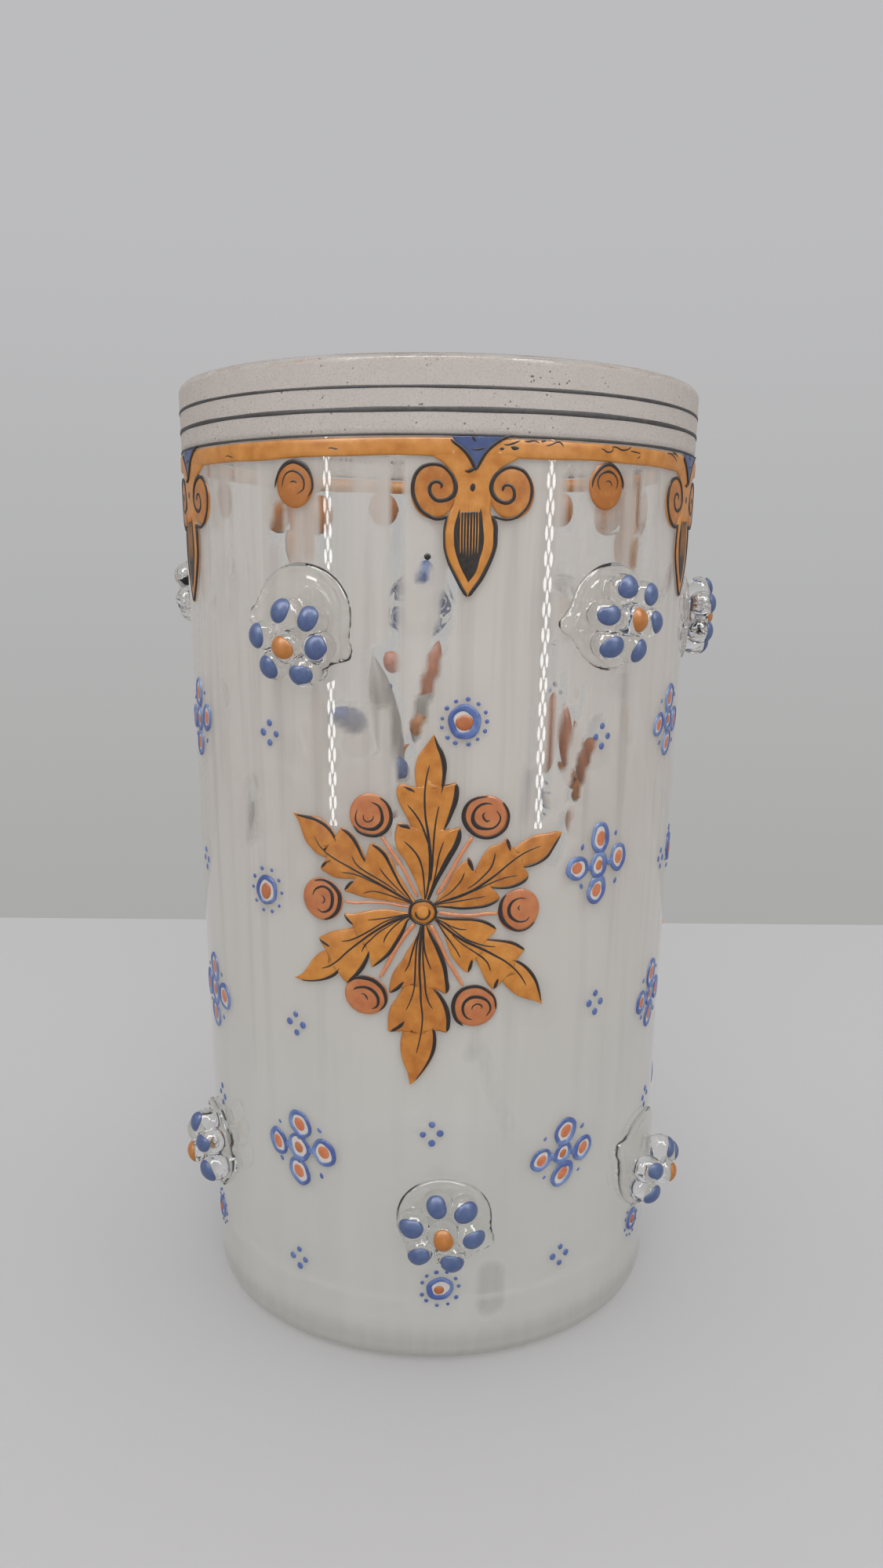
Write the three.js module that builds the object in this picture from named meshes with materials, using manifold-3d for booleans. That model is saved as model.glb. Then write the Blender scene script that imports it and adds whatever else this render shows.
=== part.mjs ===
// Enamelled beaker vase in clear glass, in millimetres, +Z up.
// The origin is the middle of the underside. Angles are in degrees round the axis:
// 0 faces -Y, the side with the front rosette, and they grow towards +X.
import * as THREE from 'three';
import { mergeVertices } from 'three/addons/utils/BufferGeometryUtils.js';
import Module from 'manifold-3d';

const wasm = await Module();
wasm.setup();

// Glass body
const TOTAL_HEIGHT = 200;
const RIM_RADIUS = 56.2;
const FOOT_RADIUS = 51;
const WALL = 3.6;
const BASE_THICKNESS = 9;
const FOOT_ROUND = 3;
const INSIDE_ROUND = 7;
const SIDES = 60;
const FOOT_STEPS = 4;
const LIP_STEPS = 6;

// Enamel lies on the wall as a thin raised skin
const ENAMEL_GAP = 0.3;
const ENAMEL_THICKNESS = 0.4;
const RELIEF_THICKNESS = 0.65;
const JOINT_GAP = 0.3;
const SKIN_MARGIN = 1;
const CUTTER_REACH = 3;
const CUTTER_DEPTH = 12;

// Painted lines under the lip, each by its drop from the rim to its middle
const UPPER_LINE_DROP = 5.9;
const UPPER_LINE_HEIGHT = 0.6;
const LOWER_LINE_DROP = 9.8;
const LOWER_LINE_HEIGHT = 0.9;
const BORDER_LINE_DROP = 14.1;
const BORDER_LINE_HEIGHT = 0.5;

// Border band, its six scrolled pendants and the discs hung between them
const BAND_HEIGHT = 3.6;
const PENDANT_ANGLES = [5.8, 65, 117, 170, 222, 293.4];
const PENDANT_LENGTH = 28.5;
const PENDANT_LEAN = -2;
const SCROLL_SPREAD = 7;
const SCROLL_DROP = 10;
const SCROLL_HALF_WIDTH = 4.2;
const SCROLL_HALF_HEIGHT = 4.8;
const NECK_HALF_WIDTH = 3.2;
const SHOULDER_REACH = 10;
const LANCE_HALF_WIDTH = 4.8;
const LANCE_TOP_HALF_WIDTH = 4;
const LANCE_SHOULDER_DROP = 14;
const LANCE_WIDEST_DROP = 18.5;
const LANCE_FULLNESS = 1.2;
const SPANDREL_HALF_WIDTH = 5.4;
const SPANDREL_DROP = 5.6;
const DISC_RADIUS = 4.1;
const DISC_OVERLAP = 0.4;

// Prunts: blobs of glass, each pressed into a cluster of seven beads
const UPPER_PRUNT_DROP = 47.5;
const SUN_TO_PRUNT = 0.7;
const PRUNT_HALF_WIDTH = 10.6;
const PRUNT_HALF_HEIGHT = 10.6;
const PRUNT_DEPTH = 4.6;
const BEAD_RADIUS = 3.1;
const BEAD_RING_RADIUS = 6.3;
const BEAD_STAND = 4.4;
const MIDDLE_BEAD_STAND = 4.9;
const BEADS_ROUND = 6;
const PRUNT_EDGE = 0.9;
const PRUNT_RINGS = [0.16, 0.32, 0.46, 0.6, 0.74, 0.88, 1];
const PRUNT_BACK_RINGS = [1, 0.5, 0];
const PRUNT_STEPS = 24;
const TAIL_LENGTH = 2.6;
const TAIL_SPREAD = 12;
const UPPER_PRUNT_DRIFT = [3.1, 1, 0, -10, 2.3, 2.9];
const UPPER_CLUSTER_SHIFT = [[0, 0], [0, 0], [0, 0], [0, 0], [0, 0], [-1, -4]];
const LOWER_PRUNT_DRIFT = [-3.4, 1, 0, 0, 0, 1.1];

// Field of painted motifs, five rows between the foot and the upper prunts
const BOTTOM_ROW_HEIGHT = 18;
const TOP_ROW_DROP = 69;
const ROW_LIFTS = { E: 0, D: -1.3, C: -2.8, B: -0.9, A: 0 };
const STAR_DRIFT = [-8, -4, -6];
const STAR_LIFT = -4.4;
const BESIDE_STAR_ANGLE = 37;
const SUN_OVER_LEAF = 1.3;
const LEAF_LENGTHS = [32.4, 29.6, 27.6, 31.6, 27.4, 30.4];
const LEAF_TURNS = [3.5, 61, 128, 184.5, 243, 306.5];
const BERRY_TURNS = [-29, 33.5, 90.5, 152, 214.5, 277];
const BERRY_REACH = 20.2;
const BERRY_RADIUS = 3.9;
const STALK_WIDTH = 0.8;
const BOSS_RADIUS = 2.4;
const SUN_RADIUS = 3.2;
const SUN_RING_WIDTH = 0.9;
const SUN_DOT_RADIUS = 1.2;
const SUN_STEPS = 9;
const PETAL_RADIUS = 2.35;
const PETAL_REACH = 4;
const PETALS_ROUND = 4;
const PETAL_STEPS = 6;

// Places where the painter's hand left the even grid: [degrees, millimetres]
const HAND_DRIFT = {
  A0: [-0.3, 0], A2: [-1.5, 0.4], A10: [-0.5, -0.7],
  B1: [3.1, 2.5], B11: [0.1, -3.3],
  C2: [-1.3, -0.9], C10: [1.1, -1.1],
  D1: [-4.3, -1.3], D11: [-1.4, -0.6],
  E0: [-3.8, -0.4], E2: [-3.7, 0], E10: [-3.2, -1.4],
};

const COLUMNS = 2 * PENDANT_ANGLES.length;
const FULL_TURN = 2 * Math.PI;

/** Outer radius of the glass at a height. */
function wallRadius(height) {
  return FOOT_RADIUS + (RIM_RADIUS - FOOT_RADIUS) * height / TOTAL_HEIGHT;
}

/** Point on the wall at an angle and height, stood off it by a distance. */
function wallPoint(angle, height, standOff) {
  const turn = THREE.MathUtils.degToRad(angle);
  const radius = wallRadius(height) + standOff;
  return new THREE.Vector3(radius * Math.sin(turn), -radius * Math.cos(turn), height);
}

/** Same geometry with shared vertices and no flattened triangles. */
function closed(geometry) {
  const bare = geometry.clone();
  bare.deleteAttribute('normal');
  bare.deleteAttribute('uv');
  const merged = mergeVertices(bare);
  const corners = merged.getIndex().array;
  const kept = [];
  for (let i = 0; i < corners.length; i += 3) {
    const [a, b, c] = [corners[i], corners[i + 1], corners[i + 2]];
    if (a !== b && b !== c && c !== a) kept.push(a, b, c);
  }
  merged.setIndex(kept);
  return merged;
}

/** Solid for cutting and joining, from a closed geometry. */
function toSolid(geometry) {
  const body = closed(geometry);
  return new wasm.Manifold(new wasm.Mesh({
    numProp: 3,
    vertProperties: new Float32Array(body.getAttribute('position').array),
    triVerts: new Uint32Array(body.getIndex().array),
  }));
}

/** Geometry for a mesh, from a solid. */
function toGeometry(solid) {
  const result = solid.getMesh();
  const geometry = new THREE.BufferGeometry();
  geometry.setAttribute('position', new THREE.BufferAttribute(result.vertProperties, 3));
  geometry.setIndex(new THREE.BufferAttribute(result.triVerts, 1));
  geometry.computeVertexNormals();
  return geometry;
}

/** One solid from many. */
function joined(solids) {
  return solids.reduce((whole, next) => whole.add(next));
}

/** Closed turned body from a profile of [radius, height] points, with Z as its axis. */
function turned(profile) {
  const points = profile.map(([radius, height]) => new THREE.Vector2(radius, height));
  return new THREE.LatheGeometry(points, SIDES).rotateX(Math.PI / 2);
}

/** Ring that follows the wall between two heights, from one stand-off to another. */
function wallRing(low, high, inner, outer) {
  return turned([
    [wallRadius(low) + inner, low],
    [wallRadius(low) + outer, low],
    [wallRadius(high) + outer, high],
    [wallRadius(high) + inner, high],
    [wallRadius(low) + inner, low],
  ]);
}

/** Points of a quarter round in a profile, from one angle to another. */
function roundPoints(centreRadius, centreHeight, round, from, to, steps) {
  return Array.from({ length: steps + 1 }, (_, i) => {
    const angle = from + (to - from) * i / steps;
    return [centreRadius + round * Math.cos(angle), centreHeight + round * Math.sin(angle)];
  });
}

/** The blown body: ground-flat underside, rounded foot, tapered wall, fire-rounded lip. */
function glassBody() {
  const lip = WALL / 2;
  const lipHeight = TOTAL_HEIGHT - lip;
  const floorRadius = wallRadius(BASE_THICKNESS) - WALL - INSIDE_ROUND;
  const quarter = Math.PI / 2;
  return turned([
    [0, 0],
    ...roundPoints(wallRadius(FOOT_ROUND) - FOOT_ROUND, FOOT_ROUND, FOOT_ROUND, -quarter, 0, FOOT_STEPS),
    ...roundPoints(wallRadius(lipHeight) - lip, lipHeight, lip, 0, 2 * quarter, LIP_STEPS),
    ...roundPoints(floorRadius, BASE_THICKNESS + INSIDE_ROUND, INSIDE_ROUND, 0, -quarter, FOOT_STEPS),
    [0, BASE_THICKNESS],
  ]);
}

/**
 * Cutter for a painted shape: a prism square to the wall at the motif's own angle. Its outline is
 * drawn in towards the sides, so that x stays arc length once the prism has cut the round skin.
 */
function bentCutter(shape, angle, height, curveSegments) {
  const settings = { depth: CUTTER_DEPTH, bevelEnabled: false, curveSegments };
  const prism = new THREE.ExtrudeGeometry(shape, settings);
  const places = prism.getAttribute('position');
  const radius = wallRadius(height);
  for (let i = 0; i < places.count; i += 1) {
    places.setX(i, radius * Math.sin(places.getX(i) / radius));
  }
  prism.rotateX(Math.PI / 2);
  prism.translate(0, CUTTER_DEPTH - radius - CUTTER_REACH, height);
  prism.rotateZ(THREE.MathUtils.degToRad(angle));
  return toSolid(prism);
}

const ENAMEL_TOP = ENAMEL_GAP + ENAMEL_THICKNESS;
const skin = toSolid(wallRing(SKIN_MARGIN, TOTAL_HEIGHT - SKIN_MARGIN, ENAMEL_GAP, ENAMEL_TOP));

/** Round or oval outline. */
function oval(x, y, halfWidth, halfHeight) {
  return new THREE.Shape().absellipse(x, y, halfWidth, halfHeight, 0, FULL_TURN, false, 0);
}

/** Point at a distance along a direction turned clockwise from upright. */
function clockPoint(distance, clockTurn, across = 0) {
  const turn = THREE.MathUtils.degToRad(clockTurn);
  return new THREE.Vector2(
    distance * Math.sin(turn) + across * Math.cos(turn),
    distance * Math.cos(turn) - across * Math.sin(turn),
  );
}

/** Lobed leaf from the boss to its tip, its outline given in shares of its length. */
function leafShape(length, clockTurn) {
  const side = [
    [0.31, 0.21, 0.48, 0.185],
    [0.43, 0.13, 0.46, 0.09],
    [0.55, 0.19, 0.72, 0.165],
    [0.67, 0.12, 0.655, 0.07],
    [0.84, 0.13, 1, 0],
  ];
  const at = (along, across) => clockPoint(along * length, clockTurn, across * length);
  const root = [0.06, 0.02];
  const shape = new THREE.Shape();
  shape.moveTo(...at(root[0], root[1]));
  side.forEach(([bendAlong, bendAcross, along, across]) => {
    shape.quadraticCurveTo(...at(bendAlong, bendAcross), ...at(along, across));
  });
  for (let i = side.length - 1; i >= 0; i -= 1) {
    const [bendAlong, bendAcross] = side[i];
    const [along, across] = i > 0 ? side[i - 1].slice(2) : root;
    shape.quadraticCurveTo(...at(bendAlong, -bendAcross), ...at(along, -across));
  }
  return shape;
}

/** Straight stalk from the boss to a berry. */
function stalkShape(clockTurn) {
  const half = STALK_WIDTH / 2;
  return new THREE.Shape([
    clockPoint(0, clockTurn, -half),
    clockPoint(0, clockTurn, half),
    clockPoint(BERRY_REACH, clockTurn, half),
    clockPoint(BERRY_REACH, clockTurn, -half),
  ]);
}

/** Rosette of six lobed leaves, with six stalked berries between them. */
function starRosette(angle, height) {
  const leaves = LEAF_LENGTHS.map((length, i) => {
    return bentCutter(leafShape(length, LEAF_TURNS[i]), angle, height, 2);
  });
  const stalks = BERRY_TURNS.map((turn) => bentCutter(stalkShape(turn), angle, height, 1));
  const berries = BERRY_TURNS.map((turn) => {
    const centre = clockPoint(BERRY_REACH, turn);
    return bentCutter(oval(centre.x, centre.y, BERRY_RADIUS, BERRY_RADIUS), angle, height, 4);
  });
  const boss = bentCutter(oval(0, 0, BOSS_RADIUS, BOSS_RADIUS), angle, height, 4);
  return toGeometry(joined([boss, ...leaves, ...stalks, ...berries]).intersect(skin));
}

/**
 * Closed body bent round the wall from rings of points about a middle, the face first and the back
 * last. A ring is a function of the direction that gives [across, up, standOff].
 */
function wallPatch(angle, height, rings, steps) {
  const perMillimetre = THREE.MathUtils.radToDeg(1 / wallRadius(height));
  const places = [];
  const corners = [];
  const last = rings.length - 1;
  const index = (ring, step) => {
    if (ring === 0) return 0;
    if (ring === last) return 1 + (last - 1) * steps;
    return 1 + (ring - 1) * steps + step % steps;
  };
  rings.forEach((ring, k) => {
    const count = k === 0 || k === last ? 1 : steps;
    for (let step = 0; step < count; step += 1) {
      const [across, up, standOff] = ring(FULL_TURN * step / steps);
      places.push(...wallPoint(angle + across * perMillimetre, height + up, standOff));
    }
  });
  for (let k = 0; k < last; k += 1) {
    for (let step = 0; step < steps; step += 1) {
      const [a, b] = [index(k, step), index(k, step + 1)];
      const [c, d] = [index(k + 1, step), index(k + 1, step + 1)];
      if (c !== d) corners.push(a, c, d);
      if (a !== b) corners.push(a, d, b);
    }
  }
  const geometry = new THREE.BufferGeometry();
  geometry.setAttribute('position', new THREE.Float32BufferAttribute(places, 3));
  geometry.setIndex(corners);
  return geometry;
}

/** Ring of a patch at a fixed radius and stand-off. */
function plainRing(radius, standOff) {
  return (direction) => [radius * Math.cos(direction), radius * Math.sin(direction), standOff];
}

/** Ringed disc with a raised rim and dot. */
function sunDisc(angle, height) {
  const inside = SUN_RADIUS - SUN_RING_WIDTH;
  const relief = ENAMEL_GAP + RELIEF_THICKNESS;
  return wallPatch(angle, height, [
    plainRing(0, relief),
    plainRing(SUN_DOT_RADIUS, relief),
    plainRing(SUN_DOT_RADIUS, ENAMEL_TOP),
    plainRing(inside, ENAMEL_TOP),
    plainRing(inside, relief),
    plainRing(SUN_RADIUS, relief),
    plainRing(SUN_RADIUS, ENAMEL_GAP),
    plainRing(0, ENAMEL_GAP),
  ], SUN_STEPS);
}

/** Distance from the middle to the far side of a circle, in a direction, or 0 if it misses. */
function circleReach(direction, centre, radius) {
  const along = centre.x * Math.cos(direction) + centre.y * Math.sin(direction);
  const across = centre.y * Math.cos(direction) - centre.x * Math.sin(direction);
  const under = radius ** 2 - across ** 2;
  return under > 0 ? Math.max(0, along + Math.sqrt(under)) : 0;
}

/** Five touching discs in a cross. */
function quatrefoil(angle, height) {
  const centres = Array.from({ length: PETALS_ROUND }, (_, i) => {
    return clockPoint(PETAL_REACH, 360 * i / PETALS_ROUND);
  });
  const outline = (standOff) => (direction) => {
    const reaches = centres.map((centre) => circleReach(direction, centre, PETAL_RADIUS));
    return plainRing(Math.max(PETAL_RADIUS, ...reaches), standOff)(direction);
  };
  return wallPatch(angle, height, [
    plainRing(0, ENAMEL_TOP),
    outline(ENAMEL_TOP),
    outline(ENAMEL_GAP),
    plainRing(0, ENAMEL_GAP),
  ], PETALS_ROUND * PETAL_STEPS);
}

const borderLineHeight = TOTAL_HEIGHT - BORDER_LINE_DROP;
const bandTop = borderLineHeight - BORDER_LINE_HEIGHT / 2 - JOINT_GAP;

/** Painted line round the wall. */
function rimLine(drop, lineHeight) {
  const middle = TOTAL_HEIGHT - drop;
  return wallRing(middle - lineHeight / 2, middle + lineHeight / 2, ENAMEL_GAP, ENAMEL_TOP);
}

/** Triangle with hollow sides that fills the dip of the band over a pendant, grown by a margin. */
function spandrelShape(grow) {
  const halfWidth = SPANDREL_HALF_WIDTH + 2 * grow;
  const bendAcross = SPANDREL_HALF_WIDTH / 3 + grow;
  const bendDrop = SPANDREL_DROP / 3 + grow;
  const shape = new THREE.Shape();
  shape.moveTo(-halfWidth, grow);
  shape.quadraticCurveTo(-bendAcross, -bendDrop, 0, -SPANDREL_DROP - 2 * grow);
  shape.quadraticCurveTo(bendAcross, -bendDrop, halfWidth, grow);
  return shape;
}

/** The band's shoulders, drawn in to the neck between the scrolls. */
function shoulderShape() {
  const foot = SCROLL_DROP + SCROLL_HALF_HEIGHT / 2;
  const shape = new THREE.Shape();
  shape.moveTo(-SHOULDER_REACH, -BAND_HEIGHT / 2);
  shape.lineTo(-SHOULDER_REACH, -BAND_HEIGHT);
  shape.quadraticCurveTo(-NECK_HALF_WIDTH, -BAND_HEIGHT, -NECK_HALF_WIDTH, -foot);
  shape.lineTo(NECK_HALF_WIDTH, -foot);
  shape.quadraticCurveTo(NECK_HALF_WIDTH, -BAND_HEIGHT, SHOULDER_REACH, -BAND_HEIGHT);
  shape.lineTo(SHOULDER_REACH, -BAND_HEIGHT / 2);
  return shape;
}

/** Pointed drop below the scrolls. */
function lanceShape() {
  const lean = PENDANT_LENGTH * Math.tan(THREE.MathUtils.degToRad(PENDANT_LEAN));
  const shape = new THREE.Shape();
  shape.moveTo(-NECK_HALF_WIDTH, -SCROLL_DROP);
  shape.lineTo(-LANCE_TOP_HALF_WIDTH, -LANCE_SHOULDER_DROP);
  shape.bezierCurveTo(
    -LANCE_HALF_WIDTH * LANCE_FULLNESS, -LANCE_WIDEST_DROP,
    -LANCE_HALF_WIDTH + lean, -LANCE_WIDEST_DROP - SCROLL_HALF_HEIGHT,
    lean, -PENDANT_LENGTH,
  );
  shape.bezierCurveTo(
    LANCE_HALF_WIDTH, -LANCE_WIDEST_DROP - SCROLL_HALF_HEIGHT,
    LANCE_HALF_WIDTH * LANCE_FULLNESS, -LANCE_WIDEST_DROP,
    LANCE_TOP_HALF_WIDTH, -LANCE_SHOULDER_DROP,
  );
  shape.lineTo(NECK_HALF_WIDTH, -SCROLL_DROP);
  return shape;
}

/** Angle midway from one pendant to the next. */
function midAngle(index) {
  const here = PENDANT_ANGLES[index];
  const next = PENDANT_ANGLES[(index + 1) % PENDANT_ANGLES.length];
  const step = THREE.MathUtils.euclideanModulo(next - here, 360);
  return here + step / 2;
}

/** Cutter for one pendant: shoulders, two scrolls and the lance between them. */
function pendantCutter(angle) {
  const scrolls = [-1, 1].map((side) => {
    const outline = oval(side * SCROLL_SPREAD, -SCROLL_DROP, SCROLL_HALF_WIDTH, SCROLL_HALF_HEIGHT);
    return bentCutter(outline, angle, bandTop, 6);
  });
  const shoulders = bentCutter(shoulderShape(), angle, bandTop, 3);
  return joined([shoulders, ...scrolls, bentCutter(lanceShape(), angle, bandTop, 3)]);
}

/** Band, pendants and hung discs, which are one run of enamel. */
function enamelBorder() {
  const reach = RIM_RADIUS + CUTTER_REACH;
  const low = bandTop - BAND_HEIGHT;
  const band = toSolid(turned([[0, low], [reach, low], [reach, bandTop], [0, bandTop]]));
  const disc = oval(0, DISC_OVERLAP - BAND_HEIGHT - DISC_RADIUS, DISC_RADIUS, DISC_RADIUS);
  const discs = PENDANT_ANGLES.map((_, i) => bentCutter(disc, midAngle(i), bandTop, 6));
  const pendants = PENDANT_ANGLES.map(pendantCutter);
  const dips = PENDANT_ANGLES.map((angle) => bentCutter(spandrelShape(JOINT_GAP), angle, bandTop, 3));
  return joined([band, ...pendants, ...discs]).subtract(joined(dips)).intersect(skin);
}

/** Filling of one dip in the band. */
function spandrel(angle) {
  return bentCutter(spandrelShape(0), angle, bandTop, 3).intersect(skin);
}

/** Distance from a prunt's middle to its edge: an oval with a pinched tail at each side. */
function blobReach(direction) {
  const [across, up] = [Math.cos(direction), Math.sin(direction)];
  const fromTail = THREE.MathUtils.radToDeg(Math.asin(Math.abs(up)));
  const tail = TAIL_LENGTH * Math.exp(-((fromTail / TAIL_SPREAD) ** 2));
  return 1 / Math.hypot(across / PRUNT_HALF_WIDTH, up / PRUNT_HALF_HEIGHT) + tail;
}

/** Height of a bead's dome over a place, or 0 beside it. */
function beadDome(across, up, centre, stand) {
  const under = BEAD_RADIUS ** 2 - (across - centre.x) ** 2 - (up - centre.y) ** 2;
  return under > 0 ? stand + Math.sqrt(under) : 0;
}

/** Middles of a prunt's beads and how far each stands off the wall. */
function beadPlaces([shiftAcross, shiftUp]) {
  return Array.from({ length: BEADS_ROUND + 1 }, (_, i) => {
    const middle = i === BEADS_ROUND;
    const centre = clockPoint(middle ? 0 : BEAD_RING_RADIUS, 360 * i / BEADS_ROUND);
    centre.add(new THREE.Vector2(shiftAcross, shiftUp));
    return { centre, stand: middle ? MIDDLE_BEAD_STAND : BEAD_STAND };
  });
}

/** Blob with pinched tails and a cluster of beads: at each place the highest of its domes. */
function prunt(angle, height, clusterShift) {
  const beads = beadPlaces(clusterShift);
  const edge = (direction) => {
    const reaches = beads.map(({ centre }) => circleReach(direction, centre, BEAD_RADIUS));
    return Math.max(blobReach(direction), ...reaches);
  };
  const face = (share) => (direction) => {
    const [across, up] = plainRing(share * edge(direction), 0)(direction);
    const blob = PRUNT_EDGE + (PRUNT_DEPTH - PRUNT_EDGE) * Math.sqrt(1 - share ** 2);
    const domes = beads.map(({ centre, stand }) => beadDome(across, up, centre, stand));
    return [across, up, share < 1 ? Math.max(blob, ...domes) : PRUNT_EDGE];
  };
  const back = (share) => (direction) => plainRing(share * edge(direction), ENAMEL_GAP)(direction);
  const rings = [face(0), ...PRUNT_RINGS.map(face), ...PRUNT_BACK_RINGS.map(back)];
  return wallPatch(angle, height, rings, PRUNT_STEPS);
}

const rowNames = ['E', 'D', 'C', 'B', 'A'];

/** Height of a row of the field, evenly stepped and then lifted by hand. */
function rowHeight(row) {
  const step = (TOTAL_HEIGHT - TOP_ROW_DROP - BOTTOM_ROW_HEIGHT) / (rowNames.length - 1);
  return BOTTOM_ROW_HEIGHT + rowNames.indexOf(row) * step + ROW_LIFTS[row];
}

/** Angle of a column: even ones hang under the pendants, odd ones lie between. */
function columnAngle(column) {
  const index = Math.floor(column / 2);
  return column % 2 === 0 ? PENDANT_ANGLES[index] : midAngle(index);
}

/** Name of the solid motif in a row and column, if there is one. */
function motifAt(row, column) {
  const fromStar = column % 4;
  if (fromStar === 0) return { A: 'sun', B: 'star', E: 'sun' }[row];
  if (fromStar === 2) return { A: 'quatrefoil', C: 'quatrefoil', E: 'sun' }[row];
  return { B: fromStar === 1 ? 'quatrefoil' : 'sun', D: 'quatrefoil' }[row];
}

/** Angle of the rosette in a column under a pendant. */
function starAngle(column) {
  return columnAngle(column) + STAR_DRIFT[column / 4];
}

/** Angle and height of a motif on the even grid, clear of the rosette beside or below it. */
function gridPlace(row, column) {
  const fromStar = column % 4;
  const starHeight = rowHeight('B') + STAR_LIFT;
  if (row === 'B' && fromStar === 0) return [starAngle(column), starHeight];
  if (row === 'B' && fromStar === 1) return [starAngle(column - 1) + BESIDE_STAR_ANGLE, rowHeight(row)];
  if (row === 'B' && fromStar === 3) {
    return [starAngle((column + 1) % COLUMNS) - BESIDE_STAR_ANGLE, rowHeight(row)];
  }
  if (row === 'A' && fromStar === 0) {
    return [columnAngle(column), starHeight + LEAF_LENGTHS[0] + SUN_OVER_LEAF + SUN_RADIUS];
  }
  return [columnAngle(column), rowHeight(row)];
}

const materials = {
  glass: { color: 0xdfe3e2, roughness: 0.08, metalness: 0 },
  prunt: { color: 0xe6ebea, roughness: 0.05, metalness: 0 },
  ochre: { color: 0xc98430, roughness: 0.45, metalness: 0 },
  blue: { color: 0x4f6fb8, roughness: 0.4, metalness: 0 },
  black: { color: 0x2e2a2c, roughness: 0.5, metalness: 0 },
};

/** Named mesh with a material of its own. */
function part(name, geometry, finish) {
  const mesh = new THREE.Mesh(closed(geometry), new THREE.MeshStandardMaterial(materials[finish]));
  mesh.name = name;
  return mesh;
}

const glass = new THREE.Group();
glass.add(part('glass_body', glassBody(), 'glass'));

const prunts = new THREE.Group();
PENDANT_ANGLES.forEach((angle, i) => {
  const upperAngle = midAngle(i) + UPPER_PRUNT_DRIFT[i];
  const upper = prunt(upperAngle, TOTAL_HEIGHT - UPPER_PRUNT_DROP, UPPER_CLUSTER_SHIFT[i]);
  const lowerHeight = BOTTOM_ROW_HEIGHT + SUN_RADIUS + SUN_TO_PRUNT + PRUNT_HALF_HEIGHT;
  const lower = prunt(angle + LOWER_PRUNT_DRIFT[i], lowerHeight, [0, 0]);
  prunts.add(part(`prunt_upper_${i + 1}`, upper, 'prunt'));
  prunts.add(part(`prunt_lower_${i + 1}`, lower, 'prunt'));
});

const rim = new THREE.Group();
rim.add(part('rim_line_upper', rimLine(UPPER_LINE_DROP, UPPER_LINE_HEIGHT), 'black'));
rim.add(part('rim_line_lower', rimLine(LOWER_LINE_DROP, LOWER_LINE_HEIGHT), 'black'));
rim.add(part('border_line', rimLine(BORDER_LINE_DROP, BORDER_LINE_HEIGHT), 'black'));
rim.add(part('enamel_border', toGeometry(enamelBorder()), 'ochre'));
PENDANT_ANGLES.forEach((angle, i) => {
  rim.add(part(`spandrel_${i + 1}`, toGeometry(spandrel(angle)), 'blue'));
});

const field = new THREE.Group();
const makers = {
  star: [starRosette, 'ochre', 'star_rosette'],
  sun: [sunDisc, 'blue', 'sun_disc'],
  quatrefoil: [quatrefoil, 'blue', 'quatrefoil'],
};
const counts = { star: 0, sun: 0, quatrefoil: 0 };
for (const row of rowNames) {
  for (let column = 0; column < COLUMNS; column += 1) {
    const kind = motifAt(row, column);
    if (kind) {
      const [make, finish, name] = makers[kind];
      const [angle, height] = gridPlace(row, column);
      const [drift, lift] = HAND_DRIFT[row + column] ?? [0, 0];
      counts[kind] += 1;
      field.add(part(`${name}_${counts[kind]}`, make(angle + drift, height + lift), finish));
    }
  }
}

const vase = new THREE.Group();
vase.add(glass, prunts, rim, field);

export default vase;
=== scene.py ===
"""Looks of a tall glass vase with fired enamel ornament and pressed glass prunts.

The wall is clear blown glass. A milk-white layer is cased inside it and leaves clear streaks. A
frosted stain runs round under the lip, with brushed black lines on it. The ornament is painted in
raised enamel: a border with six pendants, leaf rosettes, ringed suns, quatrefoils and dots.
Lengths are in millimetres until a mesh is made. A place on the wall is an angle in degrees, nought at
the front and growing towards +X, and a height over the underside.
"""

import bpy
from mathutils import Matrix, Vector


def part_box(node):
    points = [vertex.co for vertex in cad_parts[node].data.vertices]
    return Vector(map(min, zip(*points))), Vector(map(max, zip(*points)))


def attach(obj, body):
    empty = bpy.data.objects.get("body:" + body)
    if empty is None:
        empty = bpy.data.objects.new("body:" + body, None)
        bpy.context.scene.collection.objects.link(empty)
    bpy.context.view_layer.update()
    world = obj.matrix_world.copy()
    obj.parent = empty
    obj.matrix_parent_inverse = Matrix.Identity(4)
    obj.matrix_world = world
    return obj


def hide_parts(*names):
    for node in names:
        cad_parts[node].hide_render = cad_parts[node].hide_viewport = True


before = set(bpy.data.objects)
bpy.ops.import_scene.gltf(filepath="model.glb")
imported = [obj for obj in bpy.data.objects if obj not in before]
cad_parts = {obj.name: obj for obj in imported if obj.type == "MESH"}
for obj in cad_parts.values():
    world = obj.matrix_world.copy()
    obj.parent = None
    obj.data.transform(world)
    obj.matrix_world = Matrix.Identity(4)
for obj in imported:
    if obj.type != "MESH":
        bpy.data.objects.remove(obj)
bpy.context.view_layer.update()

import logging
from collections.abc import Callable, Iterable
from dataclasses import dataclass, field
from enum import Enum

import bpy
import numpy as np
from mathutils import Matrix

log = logging.getLogger("vase")

MM = 0.001
TOTAL_HEIGHT = 200.0
RIM_RADIUS = 56.2
FOOT_RADIUS = 51.0
WALL = 3.6
BASE_THICKNESS = 9.0
FOOT_ROUND = 3.0
INSIDE_ROUND = 7.0
BAND_TOP = 185.35
BAND_HEIGHT = 3.6
FUSED = 0.05
LAPPED = 0.03
ROUND = 2.0 * np.pi
FLAT_TOP = 8.0
CENTRE = np.zeros((1, 2))

Tree = bpy.types.NodeTree
Socket = bpy.types.NodeSocket
Array = np.ndarray
Spots = tuple[tuple[float, float], ...]


class Slot(Enum):
    """The record's material slots."""

    CLEAR = "clear_glass"
    PRUNT = "prunt_glass"
    OCHRE = "ochre_enamel"
    BLUE = "blue_enamel"
    BLACK = "black_enamel"


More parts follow.
